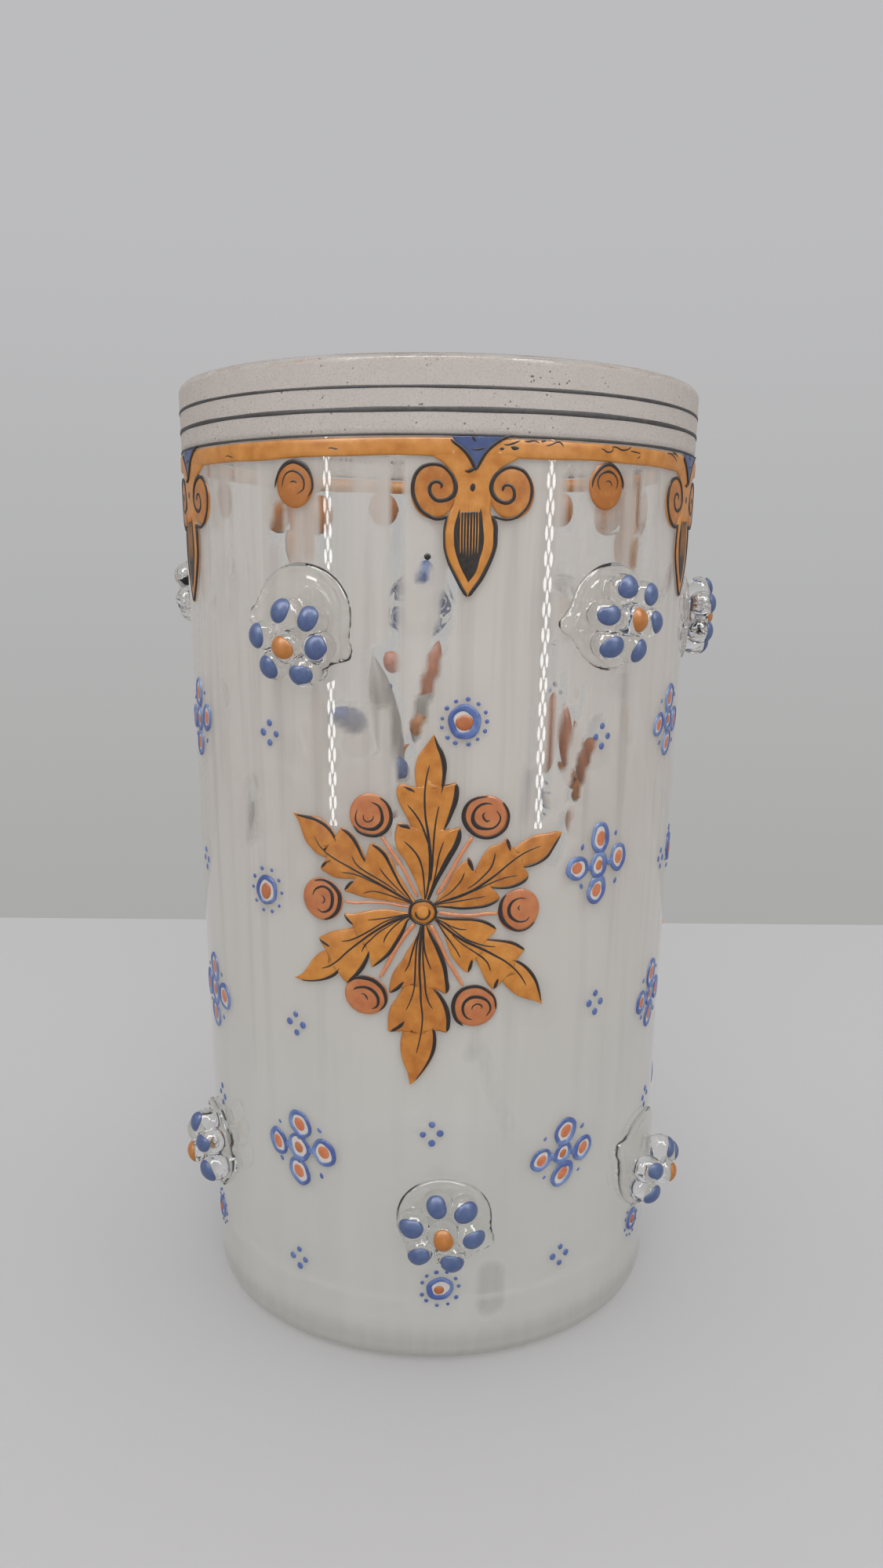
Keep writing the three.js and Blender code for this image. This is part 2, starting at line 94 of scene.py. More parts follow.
@dataclass(frozen=True)
class PaintedLeaf:
    """One leaf of the rosette: its edge, the dark strokes along the edge, and its veins."""

    outline: str
    shades: str
    veins: str


@dataclass(frozen=True)
class PaintedBerry:
    """One berry of the rosette: middle and half-axes, the curls on it, and its stalk."""

    oval: str
    strokes: str
    stalk: str


# Painted shapes. Their points were picked by eye in crops of the photograph. Scratch scripts carried
# them through the fitted camera onto the wall, rounded them and printed these tables. A point is
# across,up from the motif's middle in tenths of a millimetre, and for a brush line also its width in
# hundredths of a millimetre. A semicolon parts one line from the next.
LEAVES = (
    PaintedLeaf(
        outline="""
    -4,29 -9,43 -16,61 -25,80 -37,103 -49,120 -55,137 -56,153 -53,167 -49,175 -37,174 -27,170 -22,163
    -28,176 -37,194 -47,213 -52,230 -51,244 -42,250 -29,247 -17,240 -14,232 -16,250 -18,267 -17,286
    -11,305 2,324 17,346 22,332 31,314 37,297 40,278 39,257 34,236 42,242 54,246 59,254 63,242 64,224
    58,205 49,183 38,162 50,165 62,166 68,169 69,150 64,132 54,111 41,88 29,67 20,47 13,29""",
        shades="""
    17,345,13 23,325,52 31,309,71 36,288,78 36,268,58 34,250,39 32,237,19 27,222,13 ; 59,253,45
    60,237,71 57,218,78 51,199,65 44,179,45 37,163,16 ; 67,166,32 65,148,78 58,130,84 47,111,91
    35,88,84 25,69,78 17,51,71 12,35,45 ; -39,246,19 -29,242,45 -21,238,58 -16,233,39 ; -50,172,19
    -41,170,52 -31,168,58 -24,163,26""",
        veins="""
    10,290,10 4,264,19 1,236,23 1,209,26 3,184,29 7,160,36 10,135,45 12,114,49 12,93,45 11,72,39
    8,51,29 4,31,19 ; -32,212,13 -17,194,23 -5,174,26 3,153,26 8,135,16 ; -38,141,13 -22,126,23
    -10,109,26 -3,88,23 0,65,23 2,35,16 ; 28,212,13 23,188,19 20,164,23 18,139,23 17,114,23 16,90,19
    13,61,13 ; 38,144,10 32,127,16 27,108,19 24,88,19 20,67,19 12,42,13""",
    ),
    PaintedLeaf(
        outline="""
    23,23 29,35 36,41 43,51 48,62 56,79 68,95 81,104 84,110 90,102 95,79 100,89 109,107 117,120
    127,129 145,135 153,140 157,146 164,132 166,115 175,125 195,138 217,147 244,149 259,151 272,149
    270,139 258,126 249,109 238,97 223,89 204,84 184,84 193,79 205,69 198,57 183,49 165,44 147,44
    126,49 135,42 142,36 147,25 137,18 119,12 99,8 74,8 47,10 26,12""",
        shades="""
    271,146,19 263,133,39 252,116,45 242,103,52 226,93,45 207,87,39 187,85,13 ; 204,66,19 196,58,45
    181,51,52 163,47,45 143,47,32 124,50,13 ; 146,25,19 135,18,39 118,12,45 97,10,45 73,9,45 47,12,39
    28,13,26 ; 157,145,32 161,133,58 164,122,52 165,115,26 ; 83,109,32 87,98,65 91,88,52 94,80,26""",
        veins="""
    229,126,10 203,118,19 181,107,23 160,92,26 139,75,29 118,60,36 94,45,42 67,33,45 30,21,29 ;
    135,118,13 133,104,19 127,88,23 115,74,23 98,58,19 81,47,13 ; 77,81,13 72,67,19 62,53,19 48,39,16
    34,29,10 ; 182,70,10 161,68,16 139,62,19 115,52,19 88,40,16 67,34,10 ; 119,32,10 98,29,16 74,25,19
    47,21,19 30,18,13""",
    ),
    PaintedLeaf(
        outline="""
    21,-8 40,-9 61,-11 82,-11 102,-13 120,-18 135,-27 142,-37 135,-45 128,-51 120,-55 135,-56 157,-59
    175,-63 191,-72 202,-82 195,-89 186,-96 170,-98 188,-104 205,-115 222,-132 233,-153 240,-177
    243,-200 228,-192 206,-184 186,-174 167,-157 156,-143 149,-133 146,-144 141,-159 130,-151 121,-137
    115,-124 110,-113 104,-100 97,-89 94,-105 89,-122 78,-117 66,-104 55,-89 48,-71 41,-49 34,-35
    25,-20""",
        shades="""
    25,-9,26 47,-12,39 71,-13,39 99,-15,39 120,-21,45 135,-30,39 140,-36,16 ; 121,-56,13 139,-58,26
    161,-62,39 179,-68,45 195,-78,39 201,-83,13 ; 171,-99,13 188,-106,39 205,-119,52 219,-136,58
    229,-154,52 235,-174,45 240,-195,26 ; 148,-134,26 145,-142,52 142,-151,52 139,-158,19 ; 95,-91,26
    93,-101,52 90,-112,52 87,-121,26""",
        veins="""
    207,-158,10 197,-140,19 182,-121,23 162,-103,26 140,-89,32 118,-76,39 96,-65,42 75,-54,42
    54,-39,39 33,-21,32 21,-9,23 ; 142,-71,10 121,-68,19 100,-61,23 79,-51,23 58,-35,19 38,-19,13 ;
    85,-34,13 68,-32,19 52,-26,19 37,-17,13 ; 132,-121,13 125,-103,19 112,-89,23 94,-76,19 73,-61,16
    53,-42,13 ; 72,-92,10 64,-76,16 52,-58,19 39,-39,19 26,-18,13""",
    ),
    PaintedLeaf(
        outline="""
    9,-20 16,-42 26,-64 37,-87 45,-109 48,-132 52,-153 45,-165 38,-159 28,-156 18,-152 31,-162 44,-181
    52,-199 54,-218 52,-233 47,-245 39,-239 27,-235 17,-229 24,-241 27,-259 25,-282 16,-304 2,-327
    -16,-348 -26,-354 -28,-342 -31,-329 -39,-310 -44,-291 -45,-269 -42,-250 -37,-231 -34,-218 -42,-231
    -55,-241 -69,-246 -70,-229 -69,-210 -64,-193 -53,-176 -42,-157 -34,-136 -46,-150 -56,-161 -67,-166
    -66,-147 -61,-128 -53,-113 -42,-98 -32,-79 -21,-61 -11,-42 -4,-24""",
        shades="""
    5,-24,26 13,-44,45 25,-67,65 35,-91,71 42,-113,65 45,-135,58 47,-151,58 45,-163,19 ; 19,-154,13
    31,-166,45 42,-185,65 48,-203,71 50,-220,65 49,-235,52 47,-243,19 ; 17,-230,13 22,-244,45
    23,-263,58 20,-282,58 13,-301,45 2,-320,32 -15,-346,16 ; -35,-220,26 -44,-231,65 -55,-239,58
    -65,-245,19 ; -36,-138,26 -46,-150,65 -55,-158,52 -65,-165,19""",
        veins="""
    -13,-290,10 -8,-267,16 -3,-241,19 -1,-211,23 -4,-181,26 -5,-152,29 -7,-122,32 -7,-86,39 -5,-50,45
    0,-24,39 ; -34,-200,10 -25,-180,16 -18,-156,19 -16,-130,23 -15,-101,23 -13,-68,23 -7,-35,16 ;
    -37,-122,10 -28,-105,19 -23,-86,23 -17,-64,23 -8,-37,13 ; 20,-196,10 11,-181,19 5,-159,23
    3,-133,23 0,-104,23 -1,-71,19 -1,-35,13 ; 16,-116,13 9,-98,19 3,-78,23 1,-57,19 1,-31,13""",
    ),
    PaintedLeaf(
        outline="""
    -25,-9 -33,-25 -41,-45 -52,-66 -64,-85 -80,-101 -101,-116 -103,-102 -103,-87 -104,-77 -109,-95
    -117,-114 -128,-130 -143,-146 -155,-152 -163,-145 -166,-131 -166,-119 -174,-133 -190,-147
    -211,-157 -236,-161 -258,-162 -273,-159 -257,-150 -244,-135 -226,-110 -209,-96 -186,-86 -199,-78
    -214,-69 -200,-59 -184,-51 -165,-45 -146,-40 -135,-34 -147,-24 -158,-12 -138,-10 -113,-3 -84,3
    -56,3 -25,-2""",
        shades="""
    -31,-16,32 -40,-38,52 -52,-60,58 -67,-84,52 -84,-101,39 -99,-114,19 ; -105,-80,19 -112,-100,52
    -121,-117,65 -134,-134,58 -151,-150,26 ; -167,-121,19 -176,-135,45 -190,-145,45 -211,-154,32
    -236,-160,23 -258,-162,13 ; -212,-69,19 -203,-75,45 -193,-80,45 -187,-84,19 ; -157,-14,26
    -149,-23,45 -142,-29,39 -136,-33,16""",
        veins="""
    -210,-130,10 -190,-122,19 -170,-107,23 -151,-88,26 -128,-68,29 -106,-50,32 -84,-34,36 -56,-17,39
    -25,-5,29 ; -165,-68,10 -146,-64,19 -124,-53,23 -102,-39,23 -77,-22,19 -49,-10,16 ; -110,-20,10
    -88,-16,19 -63,-11,19 -39,-5,16 -25,-3,13 ; -122,-87,10 -115,-72,19 -102,-58,19 -88,-44,19
    -70,-31,16 -49,-17,13 ; -77,-65,10 -74,-53,19 -65,-39,19 -53,-26,19 -39,-14,19 -27,-8,13""",
    ),
    PaintedLeaf(
        outline="""
    -16,23 -30,44 -39,60 -50,77 -57,95 -67,112 -78,124 -91,131 -102,134 -108,120 -109,103 -109,91
    -115,109 -124,126 -133,142 -142,151 -154,158 -162,160 -166,148 -167,137 -169,126 -174,144 -184,159
    -198,171 -218,177 -239,176 -265,179 -254,164 -248,147 -240,126 -228,113 -213,102 -193,96 -176,95
    -193,91 -204,82 -207,72 -194,66 -179,59 -156,58 -137,60 -133,57 -149,49 -157,35 -141,30 -120,25
    -91,22 -63,20 -39,17 -22,16""",
        shades="""
    -100,131,26 -87,124,45 -74,111,52 -64,92,45 -55,74,39 -45,55,39 -33,37,45 -21,21,32 ; -161,158,19
    -148,151,45 -136,139,52 -127,124,45 -119,107,32 -110,92,13 ; -262,176,19 -239,174,45 -219,172,52
    -200,165,52 -184,153,45 -174,137,26 -169,126,10 ; -179,94,16 -191,89,45 -199,82,52 -204,75,26 ;
    -134,57,16 -143,51,45 -150,43,45 -156,36,19""",
        veins="""
    -218,139,10 -208,122,16 -193,108,19 -174,97,23 -148,85,26 -123,73,29 -98,61,36 -70,46,39 -42,31,36
    -20,18,26 ; -140,107,13 -130,90,19 -112,77,23 -91,66,23 -70,54,19 -49,39,13 ; -86,88,13 -75,73,19
    -62,59,19 -48,45,16 -31,29,10 ; -163,71,10 -141,71,19 -119,66,19 -98,57,16 -77,49,10 ; -118,33,10
    -98,39,16 -77,36,19 -56,30,19 -35,23,19 -22,17,13""",
    ),
)
BERRIES = (
    PaintedBerry(
        oval="116,187,43,42",
        strokes="""
    148,216,26 158,198,45 160,182,45 153,163,58 135,150,65 116,147,65 97,153,71 82,167,84 74,184,84
    75,202,71 84,217,52 99,225,39 120,227,19 ; 129,211,16 117,214,39 103,210,58 93,198,58 91,182,84
    99,170,91 113,165,65 130,166,45 141,176,39 143,188,32 134,201,16 ; 117,197,23 110,193,39
    112,184,45 119,179,39 125,183,19""",
        stalk="93,150,58 79,130,58 61,99,58 41,62,58 24,35,52",
    ),
    PaintedBerry(
        oval="-103,187,41,43",
        strokes="""
    -85,224,19 -71,213,39 -63,196,58 -63,177,71 -73,159,78 -90,149,71 -108,149,58 -125,154,45
    -136,166,19 ; -101,214,19 -86,207,45 -80,194,58 -80,176,78 -92,163,84 -109,161,58 -125,167,39
    -131,180,32 -127,200,13 ; -114,191,19 -115,180,26 -108,175,32 -98,179,29 -95,190,16""",
        stalk="-82,150,45 -70,130,52 -53,105,52 -37,81,52 -22,50,49 -11,29,42",
    ),
    PaintedBerry(
        oval="187,-1,43,43",
        strokes="""
    160,35,19 151,21,52 148,4,78 152,-15,84 165,-31,65 186,-42,45 207,-38,32 221,-26,16 ; 203,21,13
    186,24,32 171,17,58 165,2,78 170,-13,71 185,-23,45 202,-22,29 209,-12,13 ; 189,10,19 184,5,32
    188,-2,19""",
        stalk="145,-5,45 120,-4,58 99,-6,52 75,-6,58 47,-3,58 26,1,52",
    ),
    PaintedBerry(
        oval="101,-191,46,42",
        strokes="""
    80,-231,26 66,-218,65 59,-196,78 61,-176,78 72,-159,71 89,-151,65 109,-151,65 127,-161,52
    141,-177,39 145,-200,26 ; 99,-219,16 85,-213,39 78,-198,58 81,-182,65 95,-172,78 113,-173,71
    128,-183,52 133,-199,39 123,-214,16 ; 95,-200,19 98,-190,32 108,-186,39 116,-192,32 112,-198,16""",
        stalk="79,-150,52 63,-123,58 45,-92,58 28,-53,65 12,-23,65",
    ),
    PaintedBerry(
        oval="-114,-174,45,40",
        strokes="""
    -155,-154,16 -138,-141,52 -118,-138,78 -98,-142,84 -81,-156,78 -74,-174,65 -75,-190,45 -87,-205,19
    ; -140,-167,13 -133,-160,45 -114,-157,65 -98,-164,78 -89,-178,71 -91,-194,45 -103,-201,19 ;
    -126,-172,19 -118,-171,32 -112,-177,39 -110,-185,19""",
        stalk="-87,-138,45 -70,-107,65 -52,-71,71 -35,-45,71 -16,-22,65",
    ),
    PaintedBerry(
        oval="-204,13,44,43",
        strokes="""
    -222,48,16 -200,52,45 -181,44,71 -168,29,78 -166,12,78 -172,-8,71 -186,-22,52 -202,-29,19 ;
    -225,16,16 -218,31,39 -200,39,52 -185,31,71 -181,14,78 -187,-5,65 -203,-13,39 -217,-5,16 ;
    -207,22,19 -199,17,32 -199,8,32 -207,3,19""",
        stalk="-158,13,39 -134,12,45 -109,15,39 -74,16,39 -42,12,39 -23,11,32",
    ),
)
SCROLL_LINES = """
    -44,-136,24 -50,-139,53 -58,-141,61 -70,-141,61 -84,-134,57 -96,-124,57 -105,-108,61 -109,-92,65
    -108,-77,65 -103,-63,61 -93,-52,61 -79,-47,53 -65,-47,53 -53,-51,53 -42,-61,57 -35,-73,65
    -32,-86,73 -35,-98,73 -44,-106,73 -58,-110,69 -68,-108,69 -76,-100,69 -79,-90,65 -76,-81,61
    -69,-77,57 -61,-78,57 -57,-83,53 -59,-90,36 ; 33,-135,24 41,-137,44 53,-140,49 65,-141,49
    80,-137,44 95,-125,44 104,-112,44 108,-97,53 108,-83,49 104,-71,49 96,-59,53 85,-52,57 69,-49,57
    56,-52,61 44,-60,65 36,-70,69 32,-83,73 34,-94,73 42,-105,73 54,-111,73 65,-111,73 74,-104,69
    75,-95,61 73,-87,57 67,-81,53 58,-81,53 54,-86,53 53,-93,36"""
LANCE_LINES = """
    -47,-137,24 -50,-149,30 -52,-163,28 -52,-179,28 -51,-194,32 -46,-212,36 -39,-228,44 -29,-246,53
    -19,-264,57 -8,-280,61 ; 34,-135,36 39,-144,69 42,-155,73 42,-169,73 42,-185,69 39,-199,65
    33,-215,65 24,-234,69 15,-250,69 3,-266,69 -7,-280,61 ; -24,-123,16 -27,-137,36 -30,-151,53
    -31,-164,65 -30,-178,77 -28,-192,89 -23,-208,101 -16,-228,89 -8,-248,32 ; 13,-121,16 15,-136,32
    16,-150,40 17,-164,53 17,-178,69 14,-194,89 9,-208,105 2,-228,101 -6,-248,32 ; -20,-134,8
    -20,-158,18 -19,-182,24 -17,-211,32 ; -15,-132,8 -15,-158,18 -14,-182,24 -13,-212,36 ; -10,-131,8
    -9,-158,18 -9,-182,24 -8,-212,40 ; -4,-130,8 -4,-158,18 -4,-182,24 -4,-212,40 ; 1,-131,8 1,-158,18
    1,-182,24 0,-212,36 ; 6,-132,8 7,-158,18 6,-182,24 4,-212,32"""
DIP_LINES = """
    -43,-3,24 -35,-9,49 -25,-16,57 -15,-25,61 -7,-35,65 -1,-46,61 3,-57,40 ; 73,6,28 55,1,49 43,-6,53
    31,-15,57 21,-25,57 14,-36,57 8,-47,53 3,-57,36 ; -3,4,40 -1,-2,53 3,-8,12 ; -17,-57,16 -10,-58,53
    -1,-54,53 3,-51,20 ; -8,-19,12 3,-21,32 13,-19,36 22,-16,16"""
WORN_LINES = """
    50,-10,10 60,-11,18 68,-9,24 76,-6,18 85,-2,10 ; 65,-14,16 73,-16,53 83,-16,16 ; 45,-18,16
    50,-18,36 55,-17,16 ; 90,-3,12 99,-4,20 110,-2,16 122,-6,12 ; 249,-8,11 260,-11,19 265,-14,21
    275,-13,17 281,-8,17 276,-4,13 ; 276,-4,11 289,-4,17 303,-8,19 318,-6,17 330,0,11 ; 324,-8,11
    339,-9,17 359,-11,11 ; 345,-20,8 352,-18,15 357,-14,8 ; 450,-4,11 467,-3,17 485,-8,19 499,-17,11 ;
    473,1,8 490,-1,15 505,-8,11 ; 131,-10,8 139,-9,15 149,-5,15 158,-2,15 166,-6,15 169,-13,8 ;
    123,-4,13 128,-2,19 134,-1,11 ; -268,-20,8 -261,-17,16 -253,-19,16 -244,-20,10 ; -521,-23,8
    -510,-21,12 -499,-24,12 -491,-26,8"""
DISC_A_LINES = """
    -43,-8,10 -40,7,24 -31,24,40 -18,35,55 0,40,63 16,36,71 28,28,67 36,16,40 40,3,28 39,-11,22
    29,-25,10 ; -26,-8,10 -23,8,20 -15,19,26 -1,23,32 13,18,36 21,9,32 23,-1,28 20,-11,22 4,-20,8 ;
    -10,1,10 -4,4,18 4,4,32 8,0,16"""
DISC_B_LINES = """
    -36,-4,13 -33,12,34 -23,27,46 -10,37,55 5,40,55 20,34,46 33,22,34 40,9,25 40,-5,11 ; -15,-9,11
    -23,2,21 -22,14,27 -14,23,36 0,27,46 13,24,32 23,15,25 25,4,21 20,-7,11 ; -6,5,11 -1,10,21 7,8,21
    10,3,17 10,-3,8"""

# Clear streaks of the milk-white layer: width in millimetres, clearness, then angle,height of the
# points of its middle line. A semicolon parts one streak from the next. The points were picked and
# carried onto the wall as those of the painted shapes were.
CLEAR_STREAKS = """
1.8 1 -7.6,183.1 -7.6,175.6 -7.6,163.2 ; 1.5 1 -8.1,163.2 -8.3,156.4 -8.6,148.1 ;
4.7 0.8 -10.5,146.3 -10.6,143.1 -10.8,139.3 ;
2.2 0.9 -8.5,139.6 -8,135.1 -7.5,130.5 -6.9,126.4 -6.7,123.6 ; 0.5 0.7 -12,138.5 -12.2,133.4 -12.2,128.3 ;
2.2 1 3.2,161.9 2.1,155.6 0.9,150.2 -0.7,144.7 -2.1,139.7 -3.5,134.7 -5.2,130.6 -6.1,127.5 -6.4,123.9 ;
0.8 0.8 -8.3,116.3 -8,110.8 -7.5,105.5 ; 1.8 1 -2.1,163.8 -2.7,160.6 ; 2.7 0.9 -32.8,172.9 -34,167.6 ;
0.7 0.8 -30.2,173.4 -30.8,163.6 ; 1.3 0.9 -22.6,175.5 -22.8,166.1 ; 0.8 0.7 -45.7,181.8 -47.1,162 ;
0.9 0.5 -55.1,182.9 -56,166.2 -56.6,153.3 ; 1.1 0.9 -52.3,139.4 -52,135.3 ;
4.6 0.72 -19.5,135.5 -16.6,134 ; 2.3 0.6 -42.3,116 -44.8,108.2 ; 3.1 0.6 -66.5,103.1 -69.6,98.5 ;
2 0.25 -41.7,161 -42.8,150.6 ; 1.4 0.25 -26.4,180.6 -26.2,165.1 ; 1 0.35 -14.6,147 -14.3,135.9 ;
1.4 1 26.1,180.1 26.2,175.3 26.1,170.2 ; 0.4 0.6 29.1,179.8 29,176.4 ; 1 0.7 24.5,162.6 24.9,158.4 ;
1.3 0.5 34.9,173.4 34.3,170.2 ; 0.9 0.4 31.8,170.1 31.8,165.6 ;
1.1 0.9 24.1,148.6 23.9,141.5 24,135.4 23.8,127.1 23.4,121.3 23.1,115.5 ; 0.7 0.8 26.2,143 26.4,137.3 ;
2.4 1 27.9,135.5 27.5,131.1 26.9,125.6 ; 0.9 0.9 31.6,140.5 30.7,135.6 29.3,133.1 ;
3 1 35.5,133.2 33.9,129.6 31.7,124.5 30,119.3 ; 2.6 0.8 28.5,115.1 26.8,110.9 25.9,106.7 ;
1.7 0.45 20.4,136 19.6,128.8 18.9,121.6 18.3,113.7 17.9,108.4 ; 1.4 0.9 43.7,181.5 44.4,176 44.6,170.5 ;
2 0.9 44.3,167.4 43.6,163.5 ; 3.6 0.5 47.3,169.8 48.3,162.8 ; 3.1 0.7 59.6,161.8 56.1,157.8 ;
1.9 0.25 37.8,181.2 39.5,165.8 ; 2 0.3 50.5,181.5 53.1,158.6 ; 1.7 0.35 56.9,134.4 63.2,118.8 77,101.9 ;
4.1 0.2 43.7,142.3 45.9,129.8 ; 3.8 0.22 10.5,68.3 12.9,62.3 15.2,56.2 17.1,51.7 ; 2 0.3 9.8,75.7 8,67.6 ;
6 0.36 13.9,19 13.9,12.9 ; 3.9 0.5 -43.5,119.7 -43.2,114.9 -43,110.1
"""


def wall_radius(height: Array | float) -> Array | float:
    """Outer radius of the wall: a straight line from the foot's radius to the rim's."""
    return FOOT_RADIUS + (RIM_RADIUS - FOOT_RADIUS) * height / TOTAL_HEIGHT


def turned(angle: Array, radius: Array, height: Array) -> Array:
    """Points round the axis: x is radius times sine of the angle, y minus radius times its cosine."""
    angle, radius, height = np.broadcast_arrays(np.radians(angle), radius, height)
    return np.stack((radius * np.sin(angle), -radius * np.cos(angle), height), axis=-1)


def on_wall(angle: Array, height: Array, lift: Array | float = 0.0) -> Array:
    """Turns places on the wall, in degrees and millimetres, into points lifted off it."""
    return turned(angle, wall_radius(height) + lift, height)


def circle(count: int) -> Array:
    """Angles evenly round a circle, in radians."""
    return np.linspace(0.0, ROUND, count, endpoint=False)


def degrees(count: int) -> Array:
    """Angles evenly round the vase, in degrees."""
    return np.linspace(0.0, 360.0, count, endpoint=False)


def held(value: Array) -> Array:
    """Holds values between nought and one."""
    return np.clip(value, 0.0, 1.0)


def drawn(line: str) -> Array:
    """Turns a painted line into millimetres: across, up and, where given, width, one row a point."""
    points = np.array([point.split(",") for point in line.split()], float)
    points[:, :2] /= 10.0
    points[:, 2:] /= 100.0
    return points


def strokes(lines: str, wider: float = 1.0, more: float = 0.0) -> list[Array]:
    """Turns painted brush lines into millimetres, their widths times one number plus another."""
    return [drawn(line) * [1.0, 1.0, wider] + [0.0, 0.0, more] for line in lines.split(";")]


def smooth_line(points: Array, count: int) -> Array:
    """Carries a Catmull-Rom curve through drawn points and spaces it evenly by length.

    Args:
        points: Drawn points, one row each, with any number of columns.
        count: Number of points wanted.

    Returns:
        The evenly spaced curve.
    """
    last = len(points) - 1
    place = np.linspace(0.0, last, 12 * last + 1)
    at = np.minimum(place.astype(int), last - 1)
    t = (place - at)[:, None]
    before, start = points[np.maximum(at - 1, 0)], points[at]
    end, after = points[at + 1], points[np.minimum(at + 2, last)]
    curve = 0.5 * (
        2.0 * start
        + (end - before) * t
        + (2.0 * before - 5.0 * start + 4.0 * end - after) * t**2
        + (3.0 * start - 3.0 * end + after - before) * t**3
    )
    step = np.hypot(*np.diff(curve[:, :2], axis=0).T)
    length = np.concatenate(([0.0], np.cumsum(step)))
    want = np.linspace(0.0, length[-1], count)
    return np.stack([np.interp(want, length, column) for column in curve.T], axis=1)


def half_round(
    parts: tuple[float, ...], height: float, power: float = 0.6, sunk: float = FUSED
) -> tuple[Array, Array]:
    """Draws a low round profile, closed by an underside that is sunk into what carries it.

    Args:
        parts: Shares of the half turn between the profile's ends.
        height: Rise of its middle.
        power: Power of the sine that it rises with; below one it gets a flat top.
        sunk: Depth of the underside.

    Returns:
        How far across the points lie, from one to minus one, and how high.
    """
    turn = np.array([0.0, *parts, 1.0, 1.0, 0.0]) * np.pi
    rise = np.sin(turn) ** power * height
    rise[-2:] = -sunk
    return np.cos(turn), rise


